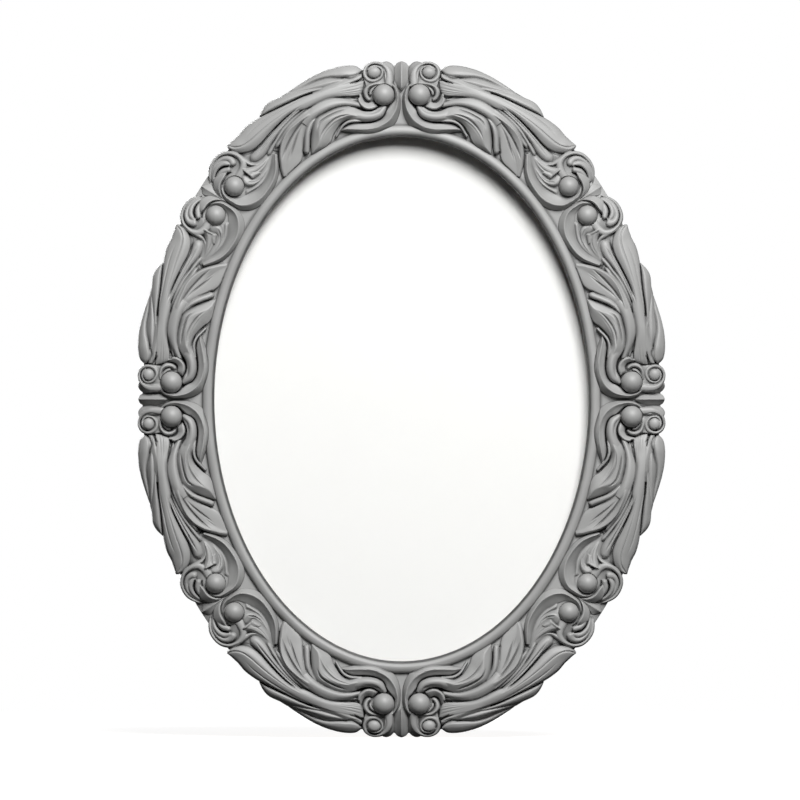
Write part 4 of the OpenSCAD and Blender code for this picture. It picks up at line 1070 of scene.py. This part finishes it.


# The frame's pieces

# Painted shade along the sight edge, and in the crease where the bead meets the ground, by the distance
# outside the sight
MOULDING_SHADE = ((0, 1), (1.0, 0.95), (1.9, 0.1), (2.4, 0), (7.0, 0), (8.2, 0.55), (9.4, 0.1), (10.5, 0))

# Angles up the outer half of the bead, and down its inner half
BEAD_UP = np.linspace(0, math.pi / 2, 15)
BEAD_DOWN = np.linspace(0, math.pi / 2, 19)[1:]

# Section of the moulding, from its rebate round the back and the outer edge to the bead
SECTION = np.concatenate([
    rounded([
        (LIP_W, REBATE_D, 0.3), (LIP_W, 0, 0.4), (BAND_W - BACK_CHAMFER, 0, 0.5),
        (BAND_W, BACK_CHAMFER, 0.5), (BAND_W, EDGE_Z, 0.5), (BAND_W - FALL_W, CORE_T, 1.5),
    ]),
    [[BEAD_W + 2.5, CORE_T], [BEAD_W + 1.4, CORE_T], [BEAD_W + 0.6, CORE_T]],
    np.stack([BEAD_W / 2 * (1 + np.cos(BEAD_UP)), CORE_T + BEAD_H * np.sin(BEAD_UP)], -1),
    np.stack([
        BEAD_W / 2 * (1 - np.sin(BEAD_DOWN)),
        CORE_T + BEAD_H - BEAD_INNER_H * (1 - np.cos(BEAD_DOWN)),
    ], -1),
    [[0, REBATE_D]],
])


# Edges of the carvings that turn by more than this many degrees are sharp
CARVED_SHARP = 80

# Sections along each length of the moulding, and how high its bare back reaches round the edge
MOULDING_STATIONS = 97
BARE_H = 1


def mouldings():
    """Four mitred lengths of the oval moulding."""
    corner = float(grid_angles(GRID_U, False))
    spans = {
        "top": (corner, math.pi - corner), "right": (-corner, corner),
        "bottom": (math.pi + corner, 2 * math.pi - corner), "left": (math.pi - corner, math.pi + corner),
    }
    for side, (start, end) in spans.items():
        mesh = oval_sweep("moulding_" + side, SECTION, np.linspace(start, end, MOULDING_STATIONS))
        x, y, z = spots_of(mesh).T / MM
        height = BACK_Y - y
        # nearly the distance outside the sight edge
        size = np.hypot(x / SIGHT_W * 2, z / SIGHT_H * 2)
        out = (size - 1) * size / np.hypot(x / SIGHT_W ** 2 * 4, z / SIGHT_H ** 2 * 4)
        # painted shade along the sight edge and in the crease at the bead's foot
        store(mesh, "hollow", np.interp(out, *np.array(MOULDING_SHADE, float).T))
        # the back and the rebate are left bare
        in_rebate = (height < REBATE_D + 0.2) & (out > 0.5) & (out < LIP_W + 0.6)
        store(mesh, "bare", (height < BARE_H) | in_rebate)
        along = (x, z) if side in ("top", "bottom") else (z, x)
        store(mesh, "grain", np.stack([*along, height], -1) * MM)
        show(mesh, "painted_moulding", ["frame_segment_" + side])


def balls():
    """Turned balls, flat underneath, where they are glued to the ground."""
    for place in PLACES:
        for size, spot, radius, top in (
            ("large", LARGE_BALL, LARGE_BALL_R, LARGE_BALL_TOP),
            ("small", SMALL_BALL, SMALL_BALL_R, SMALL_BALL_TOP),
        ):
            x, _, z = place_points(spot[0], spot[1], 0, place) / MM
            middle = CORE_T + top - radius
            low = math.asin((CORE_T + GLUE - middle) / radius)
            a = np.linspace(math.pi / 2, low, 33)
            outline = np.stack([radius * np.cos(a), middle + radius * np.sin(a)], -1)
            outline[0, 0] = 0
            outline = np.vstack([outline, [0, CORE_T + GLUE]])
            mesh = turned(f"{size}_turned_ball_{place}", outline, (x, z), 96)
            show(mesh, "painted_balls", [f"{size}_ball_{place}"])


def acanthus_carvings():
    """Eight mirrored carvings, all of one shape."""
    u, v, heights = carve_unit()
    over = np.maximum(heights - ground_height(v), SUNK)
    for spot, radius in ((LARGE_BALL, LARGE_BALL_R), (SMALL_BALL, SMALL_BALL_R)):
        reach = np.hypot(u[:, None] - spot[0], v[None, :] - spot[1]) * SQUARE
        over[reach < radius + SOCKET_GAP] = SUNK
    # every other row and column is fine enough for the mesh
    over = blurred(over, EASE_CELLS)[::2, ::2]
    u, v = u[::2], v[::2]
    hollow = hollow_shares(u, v, over)
    unit = cutout("acanthus", u, v, over)
    for place in PLACES:
        mesh = placed(unit, "carved_acanthus_" + place, lambda x, y, h: place_points(x, y, h, place), hollow)
        show(mesh, "painted_carving", ["acanthus_" + place], sharp=CARVED_SHARP)


# The two carvings beside each axis and each diagonal
AXES = {
    "top": ("top_right", "top_left"), "right": ("right_top", "right_bottom"),
    "bottom": ("bottom_right", "bottom_left"), "left": ("left_top", "left_bottom"),
}
DIAGONALS = {
    "top_right": ("top_right", "right_top"), "bottom_right": ("bottom_right", "right_bottom"),
    "bottom_left": ("bottom_left", "left_bottom"), "top_left": ("top_left", "left_top"),
}


def put_across(u, v, h, places, from_u):
    """Points on both sides of an axis or a diagonal, which lies at the grid column from_u."""
    columns = np.abs(from_u - np.abs(u))
    halves = [place_points(columns, v, h, place) for place in places]
    return np.where((u >= 0)[:, None], halves[0], halves[1])


# Tongue on an axis and arrow on a diagonal, both ridged, as rows of [half width, v, height of the
# edges, height of the crest]
TONGUE = (
    (0.5, 76.2, -4.6, -3.0), (3.2, 75, -4.6, -1.2), (5.2, 72.4, -4.4, 0.2), (6.4, 68.5, -4.0, 1.8),
    (6.8, 64, -3.2, 3.2), (6.6, 58, -1.6, 4.6), (5.4, 53.5, -0.6, 5.2), (3.2, 49.5, 0.0, 5.2),
    (0.6, 46.6, 0.6, 3.6),
)
ARROW = (
    (0.5, 71.8, -4.4, -3.0), (3.0, 69.6, -4.0, -1.6), (5.2, 67.2, -3.2, -0.8), (6.0, 64.4, -2.2, 0.0),
    (4.6, 60.8, -0.8, 0.8), (2.6, 56.5, 0.2, 1.6), (2.0, 52, 0.2, 1.6), (1.6, 47, 0.2, 1.4),
    (0.6, 42.5, 0.2, 0.8),
)


def middle_leaves():
    """Leaves that hide the butted carvings on the axes and the joints on the diagonals."""
    u = cells(-9.0, 9.0)
    v = cells(40.0, 80.0)
    for kind, rows, sets, from_u in (("axis", TONGUE, AXES, 0), ("corner", ARROW, DIAGONALS, GRID_U)):
        relief = Relief()
        relief.leaf([(-w, y, edge, w, y, edge, 0.5, crest) for w, y, edge, crest in rows], TENT, TENT, 41)
        over = blurred(np.maximum(relief.heights(u, v) - ground_height(v), SUNK), EASE_CELLS)
        hollow = hollow_shares(u, v, over)
        unit = cutout(kind + "_leaf", u, v, over)
        for name, places in sets.items():
            mesh = placed(
                unit, f"carved_{kind}_leaf_{name}",
                lambda x, y, h: put_across(x, y, h, places, from_u), hollow
            )
            show(mesh, "painted_carving", [f"{kind}_leaf_{name}"], sharp=CARVED_SHARP)


# Glass, card and board: lowest and highest place over the back, ease of the edges, slot and name
PANES = {
    "glass": (5.0, 7.0, 0.25, "picture_glass", "oval_glass"),
    "picture_card": (3.5, 4.98, 0.1, "white_card", "oval_card"),
    "backing_board": (0.3, 3.48, 0.3, "hardboard", "oval_backing_board"),
}
# Gap round them in the rebate
GLAZING_GAP = 1.0


def panes():
    """Oval glass, card and backing board in the rebate."""
    angles = full_turn(360)
    for node, (low, high, ease, slot, name) in PANES.items():
        rings = []
        for inset, z in ((ease, low), (0, low + ease), (0, high - ease), (ease, high)):
            flat = oval_points(angles, np.full(len(angles), LIP_W - GLAZING_GAP - inset))
            rings.append(np.column_stack([flat, np.full(len(angles), z)]))
        show(loft(name, stood(np.stack(rings))), slot, [node])


# Hardware on the back, in millimetres and degrees

# Gaps round what turns, round what doesn't, and under a button, and the ease of stamped edges
TURN_GAP = 0.08
HOLE_GAP = 0.05
SLIDE_GAP = 0.1
EASE = 0.2

# Turn buttons: where each sits round the oval, and how its screw's slot is turned
BUTTONS = {
    "right": (0, 20), "top_right": (60, 75), "top_left": (120, 130),
    "left": (180, 35), "bottom_left": (240, 100), "bottom_right": (300, 160),
}
BUTTON_REACH = 16.0
BUTTON_TAIL = 5.5
BUTTON_W = 9.0
BUTTON_T = 1.5
BUTTON_V = 12.0
BUTTON_SCREW = 4.0

# Screws: their length, the share of it where the point starts, and the power that rounds the head.
# The head, half the slot and the tip are shares of the shank's width. The slot's bottom lies at a
# share of the head's height
SCREW_L = 10.8
POINT_FROM = 0.7
HEAD_ROUND = 2.5
HEAD_R = 0.95
HEAD_H = 0.5
SLOT_HALF = 0.11
TIP_R = 0.05
SLOT_LEVEL = 0.45

# Hanger plate, its screws and how their slots are turned, and its ring
HANGER_T = 1.2
HANGER_W = 12.0
HANGER_END = 16.0
HANGER_SCREW = 3.2
HANGER_SLOTS = (50, 115)
RING_W = 18.0
WIRE = 2.2
RING_BEND = 1.1 * WIRE

# The plate's rolled eye, the angles it is rolled between, and the flat tail that joins it to the strap
EYE_R = WIRE / 2 + TURN_GAP + HANGER_T
EYE_INSET = 19
EYE_Y = SIGHT_H / 2 + BAND_W - EYE_INSET
EYE_Z = -EYE_R - HOLE_GAP
EYE_ROLL = (90, 378)
EYE_TAIL = 5

# Bumpers: the angles where they sit, their place across the band, and their size
BUMPERS = {"left": 250, "right": 290}
BUMPER_V = 0.62 * BAND_W
BUMPER_R = 6.0
BUMPER_H = 6.0
BUMPER_EASE = 1.5


def at_oval(points, angle, out):
    """Points drawn with X outwards from a place on the oval, as they lie in the frame."""
    a = math.radians(angle)
    turn = math.atan2(math.sin(a) / SIGHT_H, math.cos(a) / SIGHT_W)
    x = points[..., 0] * math.cos(turn) - points[..., 1] * math.sin(turn)
    y = points[..., 0] * math.sin(turn) + points[..., 1] * math.cos(turn)
    middle = oval_points(np.array(a), np.array(out))
    return np.stack([x + middle[0], y + middle[1], points[..., 2]], -1)


def screw(name, d, grip, turn, put):
    """Slotted round head screw: a grip under its head, and a pointed shank in the wood."""
    radius, height, slot = HEAD_R * d, HEAD_H * d, SLOT_HALF * d
    side = radius * np.cos(np.linspace(0, math.acos(slot / radius), 14))
    stations = [(-y, 0) for y in side] + [(-slot, 1), (slot, 1)] + [(y, 0) for y in side[::-1]]
    rings = []
    for y, in_slot in stations:
        x = math.sqrt(max(radius ** 2 - y * y, 0)) * np.sin(np.linspace(-math.pi / 2, math.pi / 2, 25))
        share = np.minimum(np.hypot(x, y) / radius, 1)
        z = height * np.sqrt(1 - share ** HEAD_ROUND)
        z[0] = z[-1] = 0
        if in_slot:
            z = np.minimum(z, SLOT_LEVEL * height)
        top = np.stack([x, y + 0 * x, -grip - z], -1)
        under = np.stack([x[::-1], y + 0 * x, -grip + 0 * x], -1)
        rings.append(np.vstack([top, under]))
    rings = np.stack(rings)
    c, s = math.cos(math.radians(turn)), math.sin(math.radians(turn))
    rings = np.stack(
        [rings[..., 0] * c - rings[..., 1] * s, rings[..., 0] * s + rings[..., 1] * c, rings[..., 2]], -1
    )
    head = loft(name + "_head", stood(put(rings)))
    shank = np.stack([
        np.column_stack([circle(0, r, 24), np.full(24, z)])
        for r, z in ((d / 2, -grip), (d / 2, SCREW_L * POINT_FROM), (TIP_R * d, SCREW_L))
    ])
    return joined(name, [head, loft(name + "_shank", stood(put(shank)))])


def turn_buttons():
    """Six stamped turn buttons, each on its own screw."""
    long_x, short_x, half = BUTTON_REACH - BUTTON_W / 2, BUTTON_TAIL - BUTTON_W / 2, BUTTON_W / 2
    hole = BUTTON_SCREW / 2 + TURN_GAP
    loops = [
        (stadium(-long_x, short_x, half), stadium(-long_x, short_x, half - EASE)),
        (circle(0, hole), circle(0, hole + EASE)),
    ]
    screws = []
    for button, (angle, turn) in BUTTONS.items():
        def put(points):
            return at_oval(points, angle, BUTTON_V)

        mesh = plate(
            "stamped_turn_button_" + button, loops, -SLIDE_GAP - BUTTON_T, -SLIDE_GAP, EASE, put
        )
        show(mesh, "brass_plate", ["turn_button_" + button], "turn_button_" + button)
        grip = BUTTON_T + 2 * SLIDE_GAP
        screws.append(screw("button_screw_" + button, BUTTON_SCREW, grip, turn, put))
    show(joined("slotted_turn_button_screws", screws), "brass_screws", ["turn_button_screws"])


def hanger():
    """Hanger plate with a rolled eye, its two screws, and the ring in the eye."""
    middle_y = EYE_Y + HANGER_W / 2
    hole = HANGER_SCREW / 2 + HOLE_GAP
    loops = [
        [stadium(-HANGER_END, HANGER_END, HANGER_W / 2 - ease) for ease in (0, EASE)],
        *[(circle(x, hole), circle(x, hole + EASE)) for x in (-HANGER_END, HANGER_END)],
    ]
    strap = plate("hanger_strap", loops, -HANGER_T, 0, EASE, lambda points: points + (0, middle_y, 0))
    a = np.radians(np.linspace(*EYE_ROLL, 60))
    outer, inner = [
        np.stack([EYE_Y + r * np.cos(a), EYE_Z + r * np.sin(a)], -1) for r in (EYE_R, EYE_R - HANGER_T)
    ]
    tail = EYE_Y + EYE_TAIL
    rolled = np.vstack([[[tail, -HOLE_GAP]], outer, inner[::-1], [[tail, -HOLE_GAP - HANGER_T]]])
    ends = np.array([-HANGER_W / 2, HANGER_W / 2])[:, None]
    eye = np.stack([
        ends + 0 * rolled[None, :, 0], 0 * ends + rolled[None, :, 0], 0 * ends + rolled[None, :, 1]
    ], -1)
    both = joined("hanger_plate_with_eye", [strap, loft("rolled_eye", stood(eye))])
    show(both, "brass_plate", ["hanger_plate"])
    screws = [
        screw("hanger_screw", HANGER_SCREW, HANGER_T, turn, lambda points: points + (x, middle_y, 0))
        for x, turn in zip((-HANGER_END, HANGER_END), HANGER_SLOTS)
    ]
    show(joined("slotted_hanger_screws", screws), "brass_screws", ["hanger_screws"])

    bend_x = RING_W / 2 - RING_BEND
    path = []
    for x, radius, start, sweep, steps in (
        (bend_x, RING_BEND, 90, -90, 12), (0, RING_W / 2, 0, -180, 64), (-bend_x, RING_BEND, 180, -90, 12),
    ):
        a = np.radians(start + sweep * np.linspace(0, 1, steps))
        path.append(np.stack([x + radius * np.cos(a), radius * np.sin(a) - RING_BEND], -1)[:-1])
    path = np.vstack([*path, [[-bend_x, 0], [-bend_x / 2, 0], [0, 0], [bend_x / 2, 0]]])
    way = np.roll(path, -1, 0) - np.roll(path, 1, 0)
    way /= np.linalg.norm(way, axis=1, keepdims=True)
    a = full_turn(24)
    across = WIRE / 2 * np.cos(a)
    x = path[:, :1] - way[:, 1:] * across
    y = path[:, 1:] + way[:, :1] * across + EYE_Y
    rings = np.stack([x, y, EYE_Z + WIRE / 2 * np.sin(a) + 0 * x], -1)
    show(loft("bent_hanging_ring", stood(rings), True), "brass_wire", ["hanging_ring"], "hanging_ring")


def bumpers():
    """Moulded bumpers that hold the lower edge off the wall."""
    outline = rounded([
        (0, 0, 0), (BUMPER_R, 0, 0.3), (BUMPER_R, -BUMPER_H / 2, BUMPER_EASE),
        (BUMPER_R - BUMPER_EASE, -BUMPER_H, 0.5), (0, -BUMPER_H, 0),
    ], 9)
    for side, angle in BUMPERS.items():
        centre = oval_points(np.array(math.radians(angle)), np.array(BUMPER_V))
        mesh = turned("moulded_bumper_" + side, outline, centre)
        show(mesh, "grey_rubber", ["wall_bumper_" + side])


mouldings()
balls()
acanthus_carvings()
middle_leaves()
panes()
turn_buttons()
hanger()
bumpers()
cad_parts["joint_splines"].material_slots[0].material = FINISHES["spline_wood"]


# Camera, floor and light, in metres where nothing else is said

# The photograph's width, where the frame's middle is in it, and its scale at the frame
PICTURE_PX = 800
FRAME_CENTRE_PX = (401.5, 399.3)
PX_PER_MM = 1.497
CAMERA_AWAY = 12.0
CLIP_END = 50
SENSOR_MM = 36.0

# Soft lights: the direction each shines from, and its power in watts
LIGHTS = {"key": ((0.18, -0.76, 0.62), 118), "back": ((-0.25, 0.96, 0.15), 60)}
LIGHT_AWAY = 2.6
LIGHT_SIZE = 1.2
# Strength of the world's light on the object
FILL = 0.02

FLOOR_R = 2.0
# How far the floor's middle lies in front of the frame, and the floor under its lowest point
FLOOR_FORWARD = 1.0
FLOOR_DROP = 0.0003


def camera():
    """Camera square to the frame, with the frame's middle where the photograph has it."""
    data = bpy.data.cameras.new("camera")
    data.sensor_width = SENSOR_MM
    data.lens = PX_PER_MM * CAMERA_AWAY / MM * SENSOR_MM / PICTURE_PX
    data.shift_x = (PICTURE_PX / 2 - FRAME_CENTRE_PX[0]) / PICTURE_PX
    data.shift_y = (FRAME_CENTRE_PX[1] - PICTURE_PX / 2) / PICTURE_PX
    data.clip_end = CLIP_END
    obj = linked("camera", data)
    obj.location = (0, -CAMERA_AWAY, 0)
    obj.rotation_euler = (math.pi / 2, 0, 0)
    bpy.context.scene.camera = obj


def softboxes():
    """Square soft lights that shine on the middle of the frame."""
    for name, (toward, power) in LIGHTS.items():
        data = bpy.data.lights.new(name, "AREA")
        data.size = LIGHT_SIZE
        data.energy = power
        obj = linked(name, data)
        direction = Vector(toward).normalized()
        obj.location = direction * LIGHT_AWAY
        obj.rotation_euler = direction.to_track_quat("Z", "Y").to_euler()


def white_world():
    """World that lights the object faintly, is white to the camera, and has a white backdrop
    behind the object for gloss and glass."""
    world = bpy.data.worlds.new("studio")
    world.use_nodes = True
    tree = world.node_tree
    tree.nodes.clear()
    path = add(tree, "ShaderNodeLightPath")
    way = add(tree, "ShaderNodeTexCoord").outputs["Generated"]
    way = add(tree, "ShaderNodeSeparateXYZ", Vector=way)
    behind = add(tree, "ShaderNodeMapRange", _0=way.outputs["Y"], _1=-0.1, _2=0.3)
    gloss = add(tree, "ShaderNodeMath", {"operation": "MAXIMUM"}, _0=path.outputs["Is Glossy Ray"],
                _1=path.outputs["Is Transmission Ray"])
    gloss = add(tree, "ShaderNodeMath", {"operation": "MULTIPLY"}, _0=gloss.outputs[0],
                _1=behind.outputs["Result"])
    seen = add(tree, "ShaderNodeMath", {"operation": "MAXIMUM"}, _0=path.outputs["Is Camera Ray"],
               _1=gloss.outputs[0])
    dim = add(tree, "ShaderNodeBackground", Color=linear("#FFFFFF"), Strength=FILL)
    white = add(tree, "ShaderNodeBackground", Color=linear("#FFFFFF"), Strength=1.0)
    mix = add(tree, "ShaderNodeMixShader", _0=seen.outputs[0], _1=dim.outputs[0], _2=white.outputs[0])
    add(tree, "ShaderNodeOutputWorld", Surface=mix.outputs[0])
    bpy.context.scene.world = world


def floor():
    """Plain white floor, which keeps the object's shadow. It gives back little light."""
    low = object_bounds()[0][2]
    material, tree = finish("white_floor")
    path = add(tree, "ShaderNodeLightPath")
    bounce = add(tree, "ShaderNodeBsdfDiffuse", Color=linear("#383838"))
    shade = add(tree, "ShaderNodeBsdfDiffuse", Color=linear("#A0A0A0"))
    glow = add(tree, "ShaderNodeEmission", Color=linear("#FFFFFF"), Strength=0.85)
    lit = add(tree, "ShaderNodeAddShader", _0=shade.outputs[0], _1=glow.outputs[0])
    mix = add(tree, "ShaderNodeMixShader", _0=path.outputs["Is Camera Ray"], _1=bounce.outputs[0],
              _2=lit.outputs[0])
    add(tree, "ShaderNodeOutputMaterial", Surface=mix.outputs[0])
    mesh = bpy.data.meshes.new("floor")
    z = low - FLOOR_DROP
    a = full_turn(64)
    rim = np.stack([FLOOR_R * np.cos(a), FLOOR_R * np.sin(a) - FLOOR_FORWARD, z + 0 * a], -1)
    mesh.from_pydata(rim.tolist(), [], [tuple(range(len(a)))])
    mesh.materials.append(material)
    obj = linked("floor", mesh)
    obj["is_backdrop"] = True


camera()
floor()
white_world()
softboxes()
bpy.context.scene.view_settings.view_transform = "Standard"
